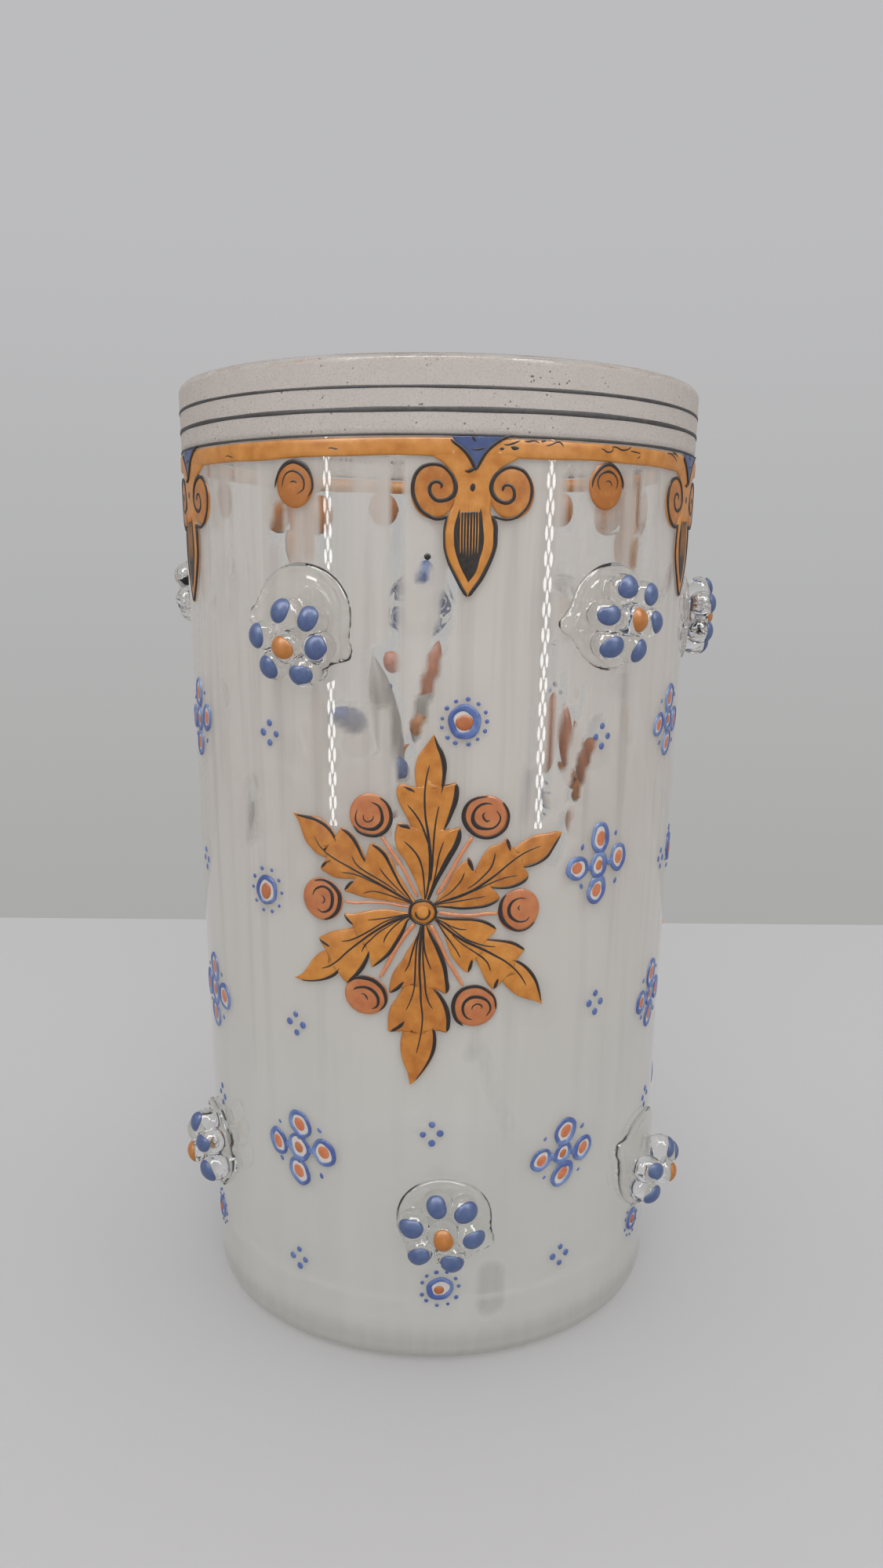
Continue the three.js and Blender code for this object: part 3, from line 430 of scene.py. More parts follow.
@dataclass(frozen=True)
class Place:
    """The middle of a motif on the wall; shapes are laid out from it in millimetres.

    The paint lengths are those of a brush stroke: the step between its points, its least width, the
    half-width from which it stands at its full height, and how far its underside sinks.
    """

    angle: float
    height: float
    paint_step: float = 0.32
    paint_least: float = 0.06
    paint_full: float = 0.12
    paint_sunk: float = 0.12

    def lift(self, across: Array, up: Array, off: Array | float, level: bool = False) -> Array:
        """Wraps a flat drawing round the wall: across becomes an arc as long, up becomes height.

        Args:
            across: Millimetres to the right of the middle.
            up: Millimetres above the middle.
            off: Millimetres off the wall.
            level: Keeps widths true at their own height off the wall, for tall shapes.

        Returns:
            Points with a last axis of three.
        """
        radius = wall_radius(self.height) + (off if level else 0.0)
        return on_wall(self.angle + np.degrees(across / radius), self.height + up, off)

    def spread(self, middles: Array, turn: Array | float, x: Array, y: Array, rise: Array) -> Array:
        """Turns flat outlines by their degrees, moves each to its middle and lifts them all."""
        turn = np.radians(np.broadcast_to(turn, (len(middles),)))[:, None, None]
        across = middles[:, 0, None, None] + x * np.cos(turn) - y * np.sin(turn)
        up = middles[:, 1, None, None] + x * np.sin(turn) + y * np.cos(turn)
        return self.lift(across, up, rise[None, :, None])

    def dabs(
        self,
        middles: Array,
        axes: Array,
        turn: Array | float,
        height: float,
        fullness: float = 2.0,
        base: float = 0.0,
        around: int = 20,
    ) -> Array:
        """Closed raised ovals on the wall, one for each middle.

        On an oval the height is base plus height times the root of one minus the distance from the
        middle to the power of the fullness, so a high fullness gives a flat top with a rounded edge.
        The underside is sunk a little into what carries it.

        Args:
            middles: Across and up of each oval.
            axes: Half-axes of each oval.
            turn: Degrees that each oval is turned by.
            height: Rise of the enamel.
            fullness: Power of the profile.
            base: Height off the wall that the oval starts at.
            around: Points round an oval.

        Returns:
            Grid with axes (ovals, rows, columns, 3).
        """
        reach = np.concatenate((np.sin(np.linspace(0.0, 0.5, 7) * np.pi), [1.0, 0.0]))
        rise = np.sqrt(np.clip(1.0 - reach**fullness, 0.0, 1.0)) * height + base
        rise[-2:] = base - FUSED
        x = reach[:, None] * np.cos(circle(around)) * axes[:, 0, None, None]
        y = reach[:, None] * np.sin(circle(around)) * axes[:, 1, None, None]
        return self.spread(middles, turn, x, y, rise)

    def hoops(
        self,
        middles: Array,
        axes: Array,
        width: Array,
        turn: Array | float,
        height: float,
        seed: int,
        around: int = 44,
    ) -> Array:
        """Closed painted rings on the wall, one for each middle.

        A half-round profile is carried round an oval. The brush's width swells and thins once or
        twice on the way round, and the oval itself is a little out of true.

        Args:
            middles: Across and up of each ring.
            axes: Outer half-axes of each ring.
            width: Brush width of each ring.
            turn: Degrees that each ring is turned by.
            height: Rise of the enamel.
            seed: Seed of the hand's unevenness.
            around: Points round a ring.

        Returns:
            Grid with axes (rings, profile, columns, 3); both rows and columns join up.
        """
        rng = np.random.default_rng(seed)
        angle = circle(around)
        part, rise = half_round((0.12, 0.28, 0.5, 0.72, 0.88), height)
        part = part[None, :, None]
        phase = rng.uniform(0.0, ROUND, (4, len(middles), 1, 1))
        swell = 1.0 + 0.22 * np.sin(angle + phase[0]) + 0.08 * np.sin(3.0 * angle + phase[1])
        bend = 1.0 + 0.03 * np.sin(2.0 * angle + phase[2]) + 0.02 * np.sin(5.0 * angle + phase[3])
        half = 0.5 * width[:, None, None] * swell
        x = np.cos(angle) * (axes[:, 0, None, None] * bend - half + half * part)
        y = np.sin(angle) * (axes[:, 1, None, None] * bend - half + half * part)
        return self.spread(middles, turn, x, y, rise)

    def brush(self, line: Array, base: float, rise: float) -> Array:
        """One brush stroke: a low round profile carried along a line, tapered to a point at its ends.

        Args:
            line: Across, up and width of the stroke at its drawn points.
            base: Height off the wall that the paint lies on.
            rise: Height of the paint where the stroke is widest.

        Returns:
            Grid with axes (along, profile, 3).
        """
        length = np.hypot(*np.diff(line[:, :2], axis=0).T).sum()
        path = smooth_line(line, max(8, int(length / self.paint_step)))
        ahead = np.gradient(path[:, :2], axis=0)
        ahead /= np.maximum(np.hypot(*ahead.T)[:, None], 1e-9)
        half = 0.5 * np.maximum(path[:, 2], self.paint_least)
        half[[0, -1]] = 0.0
        half[[1, -2]] *= 0.7
        part, lift = half_round((0.2, 0.5, 0.8), rise, 0.7, self.paint_sunk)
        side = half[:, None] * part
        full = np.minimum(half / self.paint_full, 1.0)[:, None]
        return self.lift(
            path[:, 0, None] - ahead[:, 1, None] * side, path[:, 1, None] + ahead[:, 0, None] * side,
            base + lift * full,
        )

    def ruled(self, edges: Iterable[Array], height: float, base: float = 0.0, count: int = 100) -> Array:
        """A closed patch of enamel between two edges.

        Straight rules run from a line down the patch's middle out to the edges, point by point.
        Along a rule the height is the root of one minus its sixth power, a flat top with a rounded
        edge, and the patch is closed by its sunken underside.

        Args:
            edges: Drawn points of the left edge, the right edge and the middle line, foot to tip.
            height: Rise of the enamel.
            base: Height off the wall that the patch starts at.
            count: Points along each edge.

        Returns:
            Grid with axes (rows, columns, 3).
        """
        left, right, middle = (smooth_line(line, count) for line in edges)
        edge = np.concatenate((left, right[::-1]))
        middle = np.concatenate((middle, middle[::-1]))
        reach = np.array([0.0, 0.45, 0.75, 0.9, 0.97, 1.0, 1.0, 0.0])
        rise = np.sqrt(1.0 - reach**6) * height + base
        rise[-2:] = base - FUSED
        flat = middle + (edge - middle) * reach[:, None, None]
        return self.lift(flat[..., 0], flat[..., 1], rise[:, None])


@dataclass
class Skin:
    """Gathers closed surfaces, given as grids of points, into the mesh of one piece in its finishes."""

    name: str
    finishes: tuple[str, ...]
    laid: list[tuple[Array, ...]] = field(default_factory=list)
    total: int = 0

    def lay(self, grid: Array, finish: str = "", tone: Array | float = 0.5, ring: bool = False) -> None:
        """Adds closed surfaces.

        A surface is a function of two parameters sampled on a grid. Columns run round and join up.
        Rows run from one pole to the other, where all points of a row meet, or join up too. A shell
        whose signed volume is negative is turned the right way out.

        Args:
            grid: Points with axes (..., rows, columns, 3).
            finish: Name of the finish, the piece's first one where it is left out.
            tone: Value of the tone attribute, one number or one for each point of the grid.
            ring: Whether the last row joins the first.
        """
        many, rows, cols, _ = grid.reshape((-1,) + grid.shape[-3:]).shape
        row = np.arange(rows if ring else rows - 1)[:, None]
        col = np.arange(cols)
        below, beside = (row + 1) % rows, (col + 1) % cols
        quads = np.stack(
            (row * cols + col, row * cols + beside, below * cols + beside, below * cols + col), axis=-1
        ).reshape(-1, 4)
        flat = grid.reshape(many, rows * cols, 3)
        corner = flat[:, quads] - flat.mean(axis=1)[:, None, None]
        cross = np.cross(corner[:, :, 1], corner[:, :, 2]) + np.cross(corner[:, :, 2], corner[:, :, 3])
        volume = np.einsum("nqi,nqi->n", corner[:, :, 0], cross)
        faces = np.where((volume < 0.0)[:, None, None], quads[None, :, ::-1], quads[None])
        shell = self.total + np.arange(many) * rows * cols
        number = self.finishes.index(finish or self.finishes[0])
        self.laid.append(
            (
                flat.reshape(-1, 3),
                np.repeat(shell, rows * cols),
                (faces + shell[:, None, None]).reshape(-1, 4),
                np.full(many * len(quads), number),
                np.broadcast_to(tone, grid.shape[:-1]).reshape(-1).astype(float),
            )
        )
        self.total += many * rows * cols

    def piece(self, palette: "Palette", slot: Slot, *nodes: str) -> bpy.types.Object:
        """Makes the mesh object: points at one spot are merged and faces that vanish are dropped.

        Args:
            palette: Finishes of the vase.
            slot: Slot of the record; not used.
            *nodes: CAD nodes that the piece stands for.

        Returns:
            The object, riding on the body.
        """
        points, shell, faces, finish, tone = (np.concatenate(part) for part in zip(*self.laid))
        key = np.column_stack((shell, np.round(points * 2e4))).astype(np.int64)
        _, first, spot = np.unique(key, axis=0, return_index=True, return_inverse=True)
        quads = spot.reshape(-1)[faces]
        same = quads == np.roll(quads, -1, axis=1)
        four, three = same.sum(axis=1) == 0, same.sum(axis=1) == 1
        loops = np.concatenate((quads[four].reshape(-1), quads[three][~same[three]]))
        sides = np.repeat([4, 3], [four.sum(), three.sum()])
        starts = np.concatenate(([0], np.cumsum(sides)[:-1]))
        mesh = bpy.data.meshes.new(self.name)
        mesh.vertices.add(len(first))
        mesh.loops.add(len(loops))
        mesh.polygons.add(len(sides))
        mesh.vertices.foreach_set("co", (points[first] * MM).astype(np.float32).reshape(-1))
        mesh.loops.foreach_set("vertex_index", loops.astype(np.int32))
        mesh.polygons.foreach_set("loop_start", starts.astype(np.int32))
        finish = np.concatenate((finish[four], finish[three]))
        mesh.polygons.foreach_set("material_index", finish.astype(np.int32))
        mesh.polygons.foreach_set("use_smooth", np.ones(len(sides), bool))
        mesh.update(calc_edges=True)
        mesh.validate()
        shade = mesh.attributes.new("tone", "FLOAT", "POINT")
        shade.data.foreach_set("value", tone[first].astype(np.float32))
        for key in self.finishes:
            mesh.materials.append(palette.made[key])
        made = put(self.name, mesh)
        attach(made, "root")
        if nodes:
            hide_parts(*nodes)
        log.info("%s: %d vertices, %d faces", self.name, len(first), len(sides))
        return made


def put(
    name: str, data: bpy.types.ID, axes: tuple[Array, ...] = (), place: tuple[float, ...] = ()
) -> bpy.types.Object:
    """Makes an object in the scene, with its three axes and its place where they are given."""
    made = bpy.data.objects.new(name, data)
    bpy.context.scene.collection.objects.link(made)
    if axes:
        matrix = np.eye(4)
        matrix[:3, :3] = np.column_stack(axes)
        matrix[:3, 3] = place
        made.matrix_world = Matrix(matrix.tolist())
    return made


def linear(code: str) -> tuple[float, ...]:
    """Turns an sRGB hex value into linear red, green, blue and a full alpha."""
    part = np.array([int(code[i : i + 2], 16) for i in (1, 3, 5)]) / 255.0
    value = np.where(part <= 0.04045, part / 12.92, ((part + 0.055) / 1.055) ** 2.4)
    return (*value.tolist(), 1.0)


def add(
    tree: Tree, kind: str, inputs: dict | None = None, out: int | str = 0, **settings
) -> Socket | None:
    """Adds one shader node with its settings, values and links.

    A MapRange takes its value, its two old ends and its two new ends as inputs 0 to 4. A Mix of
    colours takes its share as input 0 and the colours as 6 and 7, and gives output 2.

    Args:
        tree: Node tree that the node goes into.
        kind: Node type without its ShaderNode prefix.
        inputs: Input names or numbers, each with a value or another node's output.
        out: Name or number of the output that is wanted.
        **settings: Properties of the node itself.

    Returns:
        That output, or nothing where the node has none.
    """
    made = tree.nodes.new("ShaderNode" + kind)
    for name, value in settings.items():
        setattr(made, name, value)
    for key, value in (inputs or {}).items():
        if isinstance(value, Socket):
            tree.links.new(value, made.inputs[key])
        else:
            made.inputs[key].default_value = value
    return made.outputs[out] if made.outputs else None


def scale(size_mm: float) -> float:
    """Scale of a pattern whose features are about that many millimetres across."""
    return 1.0 / (size_mm * MM)


def coat(name: str, surface: Callable[[Tree], Socket]) -> bpy.types.Material:
    """Makes a material whose surface is what the function adds to its empty node tree."""
    material = bpy.data.materials.new(name)
    material.use_nodes = True
    tree = material.node_tree
    tree.nodes.clear()
    add(tree, "OutputMaterial", {"Surface": surface(tree)})
    return material


@dataclass(frozen=True)
class BlownGlass:
    """Soda-lime glass, blown and fire-polished: sharp highlights that waver, and a clear depth."""

    name: str
    tint: str = "#fdfdfc"
    ior: float = 1.5
    roughness: float = 0.012
    wave_mm: float = 7.0
    wave_depth_mm: float = 0.01

    def surface(self, tree: Tree) -> Socket:
        """Glass to the eye and in reflections, open to lamps and soft light."""
        spot = add(tree, "TexCoord", out="Object")
        long = add(tree, "Mapping", {"Vector": spot, "Scale": (1.0, 1.0, 0.35)})
        wave = add(tree, "TexNoise", {"Vector": long, "Scale": scale(self.wave_mm)})
        bump = add(tree, "Bump", {"Height": wave, "Distance": self.wave_depth_mm * MM})
        look = {"Base Color": linear(self.tint), "Roughness": self.roughness, "IOR": self.ior}
        glass = add(tree, "BsdfPrincipled", look | {"Transmission Weight": 1.0, "Normal": bump})
        rays = add(tree, "LightPath").node.outputs
        through = {0: rays["Is Shadow Ray"], 1: rays["Is Diffuse Ray"]}
        soft = add(tree, "Math", through, operation="MAXIMUM")
        clear = add(tree, "BsdfTransparent", {"Color": linear(self.tint)})
        return add(tree, "MixShader", {0: soft, 1: glass, 2: clear})


@dataclass(frozen=True)
class OpalGlass:
    """Milk-white glass cased between two clear ones: soft white that streaks thin up the wall."""

    name: str
    upper: str
    lower: str
    foot: str
    cloud: str = "#8b8682"
    passes: float = 0.5
    thin: float = 0.9
    fray: float = 0.07
    band_dark: float = 0.22
    wisp_mm: float = 2.2
    veil_mm: float = 14.0
    band_mm: float = 4.0
    pale_mm: tuple[float, float] = (30.0, 120.0)
    foot_mm: tuple[float, float] = (4.5, 9.5)

    def surface(self, tree: Tree) -> Socket:
        """The tone attribute gives the cover, whose edges long wisps fray; upright bands darken it."""
        spot = add(tree, "TexCoord", out="Object")
        long = add(tree, "Mapping", {"Vector": spot, "Scale": (1.0, 1.0, 0.07)})
        wisp = add(tree, "TexNoise", {"Vector": long, "Scale": scale(self.wisp_mm), "Detail": 3.0})
        fray = add(tree, "MapRange", {0: wisp, 3: -self.fray, 4: self.fray})
        tone = add(tree, "Attribute", out="Fac", attribute_name="tone")
        ragged = add(tree, "Math", {0: tone, 1: fray}, operation="ADD")
        edge = add(tree, "MapRange", {0: ragged, 1: 0.08, 2: 0.92, 4: self.thin})
        haze = add(tree, "TexNoise", {"Vector": long, "Scale": scale(self.veil_mm)})
        veil = add(tree, "MapRange", {0: haze, 1: 0.3, 2: 0.7, 3: 0.93, 4: 1.05})
        milk = add(tree, "Math", {0: edge, 1: veil}, operation="MULTIPLY", use_clamp=True)
        height = add(tree, "SeparateXYZ", {0: spot}, "Z")
        low, high = self.pale_mm
        rise = add(tree, "MapRange", {0: height, 1: low * MM, 2: high * MM})
        wall = {0: rise, 6: linear(self.lower), 7: linear(self.upper)}
        wall = add(tree, "Mix", wall, 2, data_type="RGBA")
        low, high = self.foot_mm
        above = add(tree, "MapRange", {0: height, 1: low * MM, 2: high * MM})
        colour = {0: above, 6: linear(self.foot), 7: wall}
        colour = add(tree, "Mix", colour, 2, data_type="RGBA")
        tall = add(tree, "Mapping", {"Vector": spot, "Scale": (1.0, 1.0, 0.04)})
        band = add(tree, "TexNoise", {"Vector": tall, "Scale": scale(self.band_mm), "Detail": 4.0})
        band = add(tree, "MapRange", {0: band, 1: 0.5, 2: 0.7, 4: self.band_dark})
        share = add(tree, "Math", {0: band, 1: rise}, operation="MULTIPLY")
        dark = {0: share, 6: colour, 7: linear(self.cloud)}
        colour = add(tree, "Mix", dark, 2, data_type="RGBA")
        white, glow = (add(tree, kind, {"Color": colour}) for kind in ("BsdfDiffuse", "BsdfTranslucent"))
        body = add(tree, "MixShader", {0: self.passes, 1: white, 2: glow})
        return add(tree, "MixShader", {0: milk, 1: add(tree, "BsdfTransparent"), 2: body})


@dataclass(frozen=True)
class FrostedStain:
    """Matt stain fired on under the lip: a sandy pinkish veil with dark specks and pinholes."""

    name: str
    tone: str
    speck: str
    cover: float = 0.86
    hole_depth: float = 0.3
    grain_mm: float = 0.35
    crumb_mm: float = 1.1
    cloud_mm: float = 5.0

    def surface(self, tree: Tree) -> Socket:
        """Specks lie in cloudy patches; the grain is a little coarser than real so that it shows."""
        spot = add(tree, "TexCoord", out="Object")
        grain = add(tree, "TexNoise", {"Vector": spot, "Scale": scale(self.grain_mm), "Detail": 1.0})
        cloud = add(tree, "TexNoise", {"Vector": spot, "Scale": scale(self.cloud_mm), "Detail": 3.0})
        crumb = add(tree, "TexVoronoi", {"Vector": spot, "Scale": scale(self.crumb_mm)}, "Distance")
        dark = add(tree, "MapRange", {0: crumb, 1: 0.13, 2: 0.2, 3: 0.9, 4: 0.0})
        sparse = add(tree, "MapRange", {0: cloud, 1: 0.5, 2: 0.62})
        dirt = add(tree, "Math", {0: dark, 1: sparse}, operation="MULTIPLY")
        specked = {0: dirt, 6: linear(self.tone), 7: linear(self.speck)}
        colour = add(tree, "Mix", specked, 2, data_type="RGBA")
        holes = {0: grain, 1: 0.3, 2: 0.5, 3: self.cover - self.hole_depth, 4: self.cover}
        holes = add(tree, "MapRange", holes)
        patchy = add(tree, "MapRange", {0: cloud, 1: 0.35, 2: 0.65, 3: 0.86, 4: 1.0})
        veil = add(tree, "Math", {0: holes, 1: patchy}, operation="MULTIPLY")
        tone = add(tree, "Attribute", out="Fac", attribute_name="tone")
        veil = add(tree, "Math", {0: veil, 1: tone}, operation="MULTIPLY")
        matt = add(tree, "BsdfDiffuse", {"Color": colour})
        return add(tree, "MixShader", {0: veil, 1: add(tree, "BsdfTransparent"), 2: matt})


@dataclass(frozen=True)
class FiredEnamel:
    """Vitreous enamel laid on by brush and fired: satin gloss, pooled deep and thin pale patches."""

    name: str
    tone: str
    deep: str
    pale: str
    patch_mm: float = 2.4
    grain_mm: float = 0.22
    roughness: float = 0.36
    ior: float = 1.52
    bump_mm: float = 0.02

    def surface(self, tree: Tree) -> Socket:
        """The sum of two noises and the tone attribute leads from deep through plain to pale."""
        spot = add(tree, "TexCoord", out="Object")
        patch = add(tree, "TexNoise", {"Vector": spot, "Scale": scale(self.patch_mm), "Detail": 3.0})
        grain = add(tree, "TexNoise", {"Vector": spot, "Scale": scale(self.grain_mm)})
        mottle = add(tree, "Math", {0: grain, 1: 0.25, 2: patch}, operation="MULTIPLY_ADD")
        tone = add(tree, "Attribute", out="Fac", attribute_name="tone")
        level = add(tree, "Math", {0: tone, 1: mottle}, operation="ADD")
        low = add(tree, "MapRange", {0: level, 1: 0.75, 2: 1.12})
        high = add(tree, "MapRange", {0: level, 1: 1.12, 2: 1.5})
        pooled = {0: low, 6: linear(self.deep), 7: linear(self.tone)}
        colour = add(tree, "Mix", pooled, 2, data_type="RGBA")
        thinned = {0: high, 6: colour, 7: linear(self.pale)}
        colour = add(tree, "Mix", thinned, 2, data_type="RGBA")
        bump = add(tree, "Bump", {"Height": mottle, "Distance": self.bump_mm * MM})
        worn = {0: patch, 1: 0.3, 2: 0.7, 3: self.roughness - 0.06, 4: self.roughness + 0.1}
        worn = add(tree, "MapRange", worn)
        look = {"Base Color": colour, "Roughness": worn, "IOR": self.ior, "Normal": bump}
        return add(tree, "BsdfPrincipled", look)


@dataclass
class Palette:
    """The vase's finishes, made once and shared."""

    glass: BlownGlass = BlownGlass("blown_soda_glass")
    pressed: BlownGlass = BlownGlass("pressed_prunt_glass", "#fefefd", wave_mm=3.0, wave_depth_mm=0.03)
    opal: OpalGlass = OpalGlass("cased_opal_glass", "#dcd7d2", "#dfdfdc", "#d3d2cf")
    stain: FrostedStain = FrostedStain("fired_frosted_stain", "#bfb7b1", "#4c423d")
    orange: FiredEnamel = FiredEnamel("ochre_enamel_brushed", "#b97729", "#a05e1b", "#c98b3e")
    salmon: FiredEnamel = FiredEnamel("salmon_enamel_brushed", "#bb6d45", "#a65630", "#c4825a", 1.2)
    russet: FiredEnamel = FiredEnamel("russet_enamel_brushed", "#ae683c", "#985226", "#bc7c44", 3.0)
    blue: FiredEnamel = FiredEnamel("cobalt_enamel_brushed", "#52679a", "#3e528e", "#7389b2", 1.6)
    dab_blue: FiredEnamel = FiredEnamel("cobalt_enamel_dropped", "#46577e", "#3a4976", "#56668a", 1.5)
    dab_orange: FiredEnamel = FiredEnamel("ochre_enamel_dropped", "#aa6b2a", "#965519", "#b77b3d", 1.5)
    cream: FiredEnamel = FiredEnamel("white_enamel_ground", "#c2bbb5", "#b3b3b9", "#c8c2bc", 1.0)
    # Painted shade: a grey wash that stands for the far wall's shaded inside, seen through clear streaks.
    painted_shade_wash: FiredEnamel = FiredEnamel("grey_painted_shade_wash", "#a39d98", "#999390", "#aca7a3", 4.0)
    ink: FiredEnamel = FiredEnamel(
        "umber_enamel_drawn", "#1a100a", "#110a07", "#2e1d13", 0.9, roughness=0.45
    )
    banded: FiredEnamel = FiredEnamel(
        "black_enamel_banded", "#3b3938", "#2a2828", "#585450", 1.1, roughness=0.6
    )

    def __post_init__(self) -> None:
        """Builds every material under its field's name."""
        self.made = {key: coat(finish.name, finish.surface) for key, finish in vars(self).items()}


@dataclass
class Body:
    """The blown vessel, the milk-white layer inside its wall and the stain under its lip."""

    around: int = 288
    wall_rows: int = 88
    outer_wave: float = 0.05
    inner_wave: float = 0.22
    wave_fade: float = 20.0
    fade_past_lip: float = 6.0
    opal_around: int = 300
    opal_rows: int = 190
    opal_depth: float = 1.1
    opal_thickness: float = 0.8
    opal_foot: float = 1.0
    opal_round: float = 2.0
    opal_floor: float = 0.75
    stain_around: int = 240
    stain_from: float = 185.6
    stain_bend: float = 198.2
    eye_height: float = 161.8
    far_spread: float = 1.46
    streak_top: float = 187.0
    side_streaks: tuple[float, float, float] = (70.0, 300.0, 11.0)
    outer_seed: int = 3
    inner_seed: int = 8
    band_seed: int = 5
    stain_seed: int = 9
    streak_seed: int = 21

    def profile(self) -> Array:
        """Draws half the vessel's section from the middle of the underside round to the inside floor.

        Straight runs and quarter rounds in turn: underside, foot round, outer wall, half-round lip,
        inner wall, inside corner and floor.

        Returns:
            Radii, heights and, for each point, how much of each wall's waves it takes: -1 on the
            inner wall, 1 on the outer one and nought off both.
        """
        quarter = np.linspace(0.0, 0.5, 9)[1:] * np.pi
        lip = np.linspace(0.0, 1.0, 15)[1:] * np.pi
        half = WALL / 2.0
        lip_foot, floor_round = TOTAL_HEIGHT - half, BASE_THICKNESS + INSIDE_ROUND
        up = np.linspace(FOOT_ROUND, lip_foot, self.wall_rows)
        down = np.linspace(lip_foot, floor_round, self.wall_rows)[1:]
        foot, top = FOOT_RADIUS - FOOT_ROUND, wall_radius(lip_foot)
        corner = wall_radius(down[-1]) - WALL - INSIDE_ROUND
        bend = quarter[:-1]
        runs = (
            (np.array([0.0, 0.25, 0.5, 0.75, 0.92, 1.0]) * foot, 0.0, 0.0),
            (foot + FOOT_ROUND * np.sin(bend), FOOT_ROUND - FOOT_ROUND * np.cos(bend), 0.0),
            (wall_radius(up), up, 1.0),
            (top - half + half * np.cos(lip), lip_foot + half * np.sin(lip), np.linspace(1.0, -1.0, 14)),
            (wall_radius(down) - WALL, down, -1.0),
            (corner + INSIDE_ROUND * np.cos(quarter), floor_round - INSIDE_ROUND * np.sin(quarter), 0.0),
            (np.array([0.75, 0.5, 0.25, 0.0]) * corner, BASE_THICKNESS, 0.0),
        )
        return np.concatenate([np.broadcast_arrays(*run) for run in runs], axis=1)

    def waves(self, angle: Array, height: Array, seed: int) -> Array:
        """Adds twelve sine waves round the wall, each twisting slowly with height, to within one."""
        rng = np.random.default_rng(seed)
        count = rng.integers(2, 26, 12)[:, None, None]
        twist = rng.uniform(-1.0, 1.0, 12)[:, None, None] / 30.0
        phase = rng.uniform(0.0, ROUND, 12)[:, None, None]
        size = 1.0 / np.sqrt(count)
        total = (size * np.sin(count * np.radians(angle) + twist * height + phase)).sum(axis=0)
        return total / size.sum()

    def glass(self, palette: Palette) -> None:
        """Revolves the profile and lets both walls waver as hand-blown walls do."""
        radius, height, side = self.profile()[..., None]
        angle = degrees(self.around)[None]
        left = TOTAL_HEIGHT + self.fade_past_lip - height
        fade = held(height / self.wave_fade) * held(left / self.wave_fade)
        outer = self.outer_wave * self.waves(angle, height, self.outer_seed) * held(side)
        inner = self.inner_wave * self.waves(angle, height, self.inner_seed) * held(-side)
        skin = Skin("glass_vessel", ("glass",))
        skin.lay(turned(angle, radius + fade * (outer + inner), height))
        skin.piece(palette, Slot.CLEAR, "glass_body")

    def streak(self, angle: Array, height: Array, width: float, line: Array, soft: float = 1.2) -> Array:
        """Tells how far places lie inside a streak: one in it, nought outside, and soft between.

        The distance is to the nearest point of the streak's middle line, unrolled to millimetres.

        Args:
            angle: Degrees from the front.
            height: Millimetres over the underside.
            width: Width of the streak.
            line: Angle and height of the streak's middle line.
            soft: Width of its soft edge.

        Returns:
            Shares from nought to one.
        """
        centre, middle = line.mean(axis=0)
        radius = wall_radius(middle)
        beside = np.radians((angle - centre + 180.0) % 360.0 - 180.0) * radius
        spot = np.stack(np.broadcast_arrays(beside, height), axis=-1)[..., None, :]
        path = np.column_stack((np.radians(line[:, 0] - centre) * radius, line[:, 1]))
        start, run = path[:-1], np.diff(path, axis=0)
        along = held(((spot - start) * run).sum(-1) / (run**2).sum(-1))
        gap = np.linalg.norm(spot - start - along[..., None] * run, axis=-1).min(axis=-1)
        return held((width / 2.0 + soft / 2.0 - gap) / soft)

    def opposite(self, line: Array) -> Array:
        """Carries a streak's middle line through the vase to the far wall, wider apart and lower."""
        across = np.clip(self.far_spread * np.sin(np.radians(line[:, 0])), -0.97, 0.97)
        down = self.far_spread * (self.eye_height - line[:, 1])
        return np.column_stack((180.0 - np.degrees(np.arcsin(across)), self.eye_height - down))

    def cover(self, angle: Array, height: Array) -> Array:
        """Works out where the milk-white layer lies: one where it is full, nought where it is clear.

        The streaks of the front are placed as they lie on it. Others like them run down from the
        top round the sides and back, and higher up the layer thins to fine upright bands.

        Args:
            angle: Degrees from the front.
            height: Millimetres over the underside.

        Returns:
            Shares from nought to one.
        """
        rng = np.random.default_rng(self.streak_seed)
        full = np.ones(np.broadcast(angle, height).shape)
        for row in CLEAR_STREAKS.split(";"):
            width, clear, *spots = row.split()
            width, clear = float(width), float(clear)
            line = np.array([spot.split(",") for spot in spots], float)
            full *= 1.0 - clear * self.streak(angle, height, width + 0.2, line, 0.5 + 2.5 * (1.0 - clear))
            if clear > 0.75:
                far = self.streak(angle, height, 1.5 * width + 4.0, self.opposite(line), 4.0)
                full *= 1.0 - 0.9 * far
        top = self.streak_top
        for turn in np.arange(*self.side_streaks):
            turn += rng.uniform(-4.0, 4.0)
            low = rng.uniform(100.0, 165.0)
            bent = turn + rng.uniform(-1.0, 1.0)
            line = np.array([(turn, top), (bent, (low + top) / 2.0), (turn, low)])
            full *= 1.0 - rng.uniform(0.5, 1.0) * self.streak(angle, height, rng.uniform(1.2, 5.0), line)
        bands = held(0.5 + 1.6 * self.waves(4.0 * angle, 0.1 * height, self.band_seed))
        sides = 0.15 + 0.85 * held((np.abs((angle + 175.0) % 360.0 - 180.0) - 8.0) / 14.0)
        thin = held((height - 125.0) / 45.0) * sides
        behind = held((np.abs((angle + 180.0) % 360.0 - 180.0) - 95.0) / 20.0)
        behind = behind * held((height - 85.0) / 30.0)
        foot = 1.0 - 0.25 * held((9.0 - height) / 5.0)
        return full * foot * (1.0 - 0.5 * thin * bands) * (1.0 - 0.5 * behind)

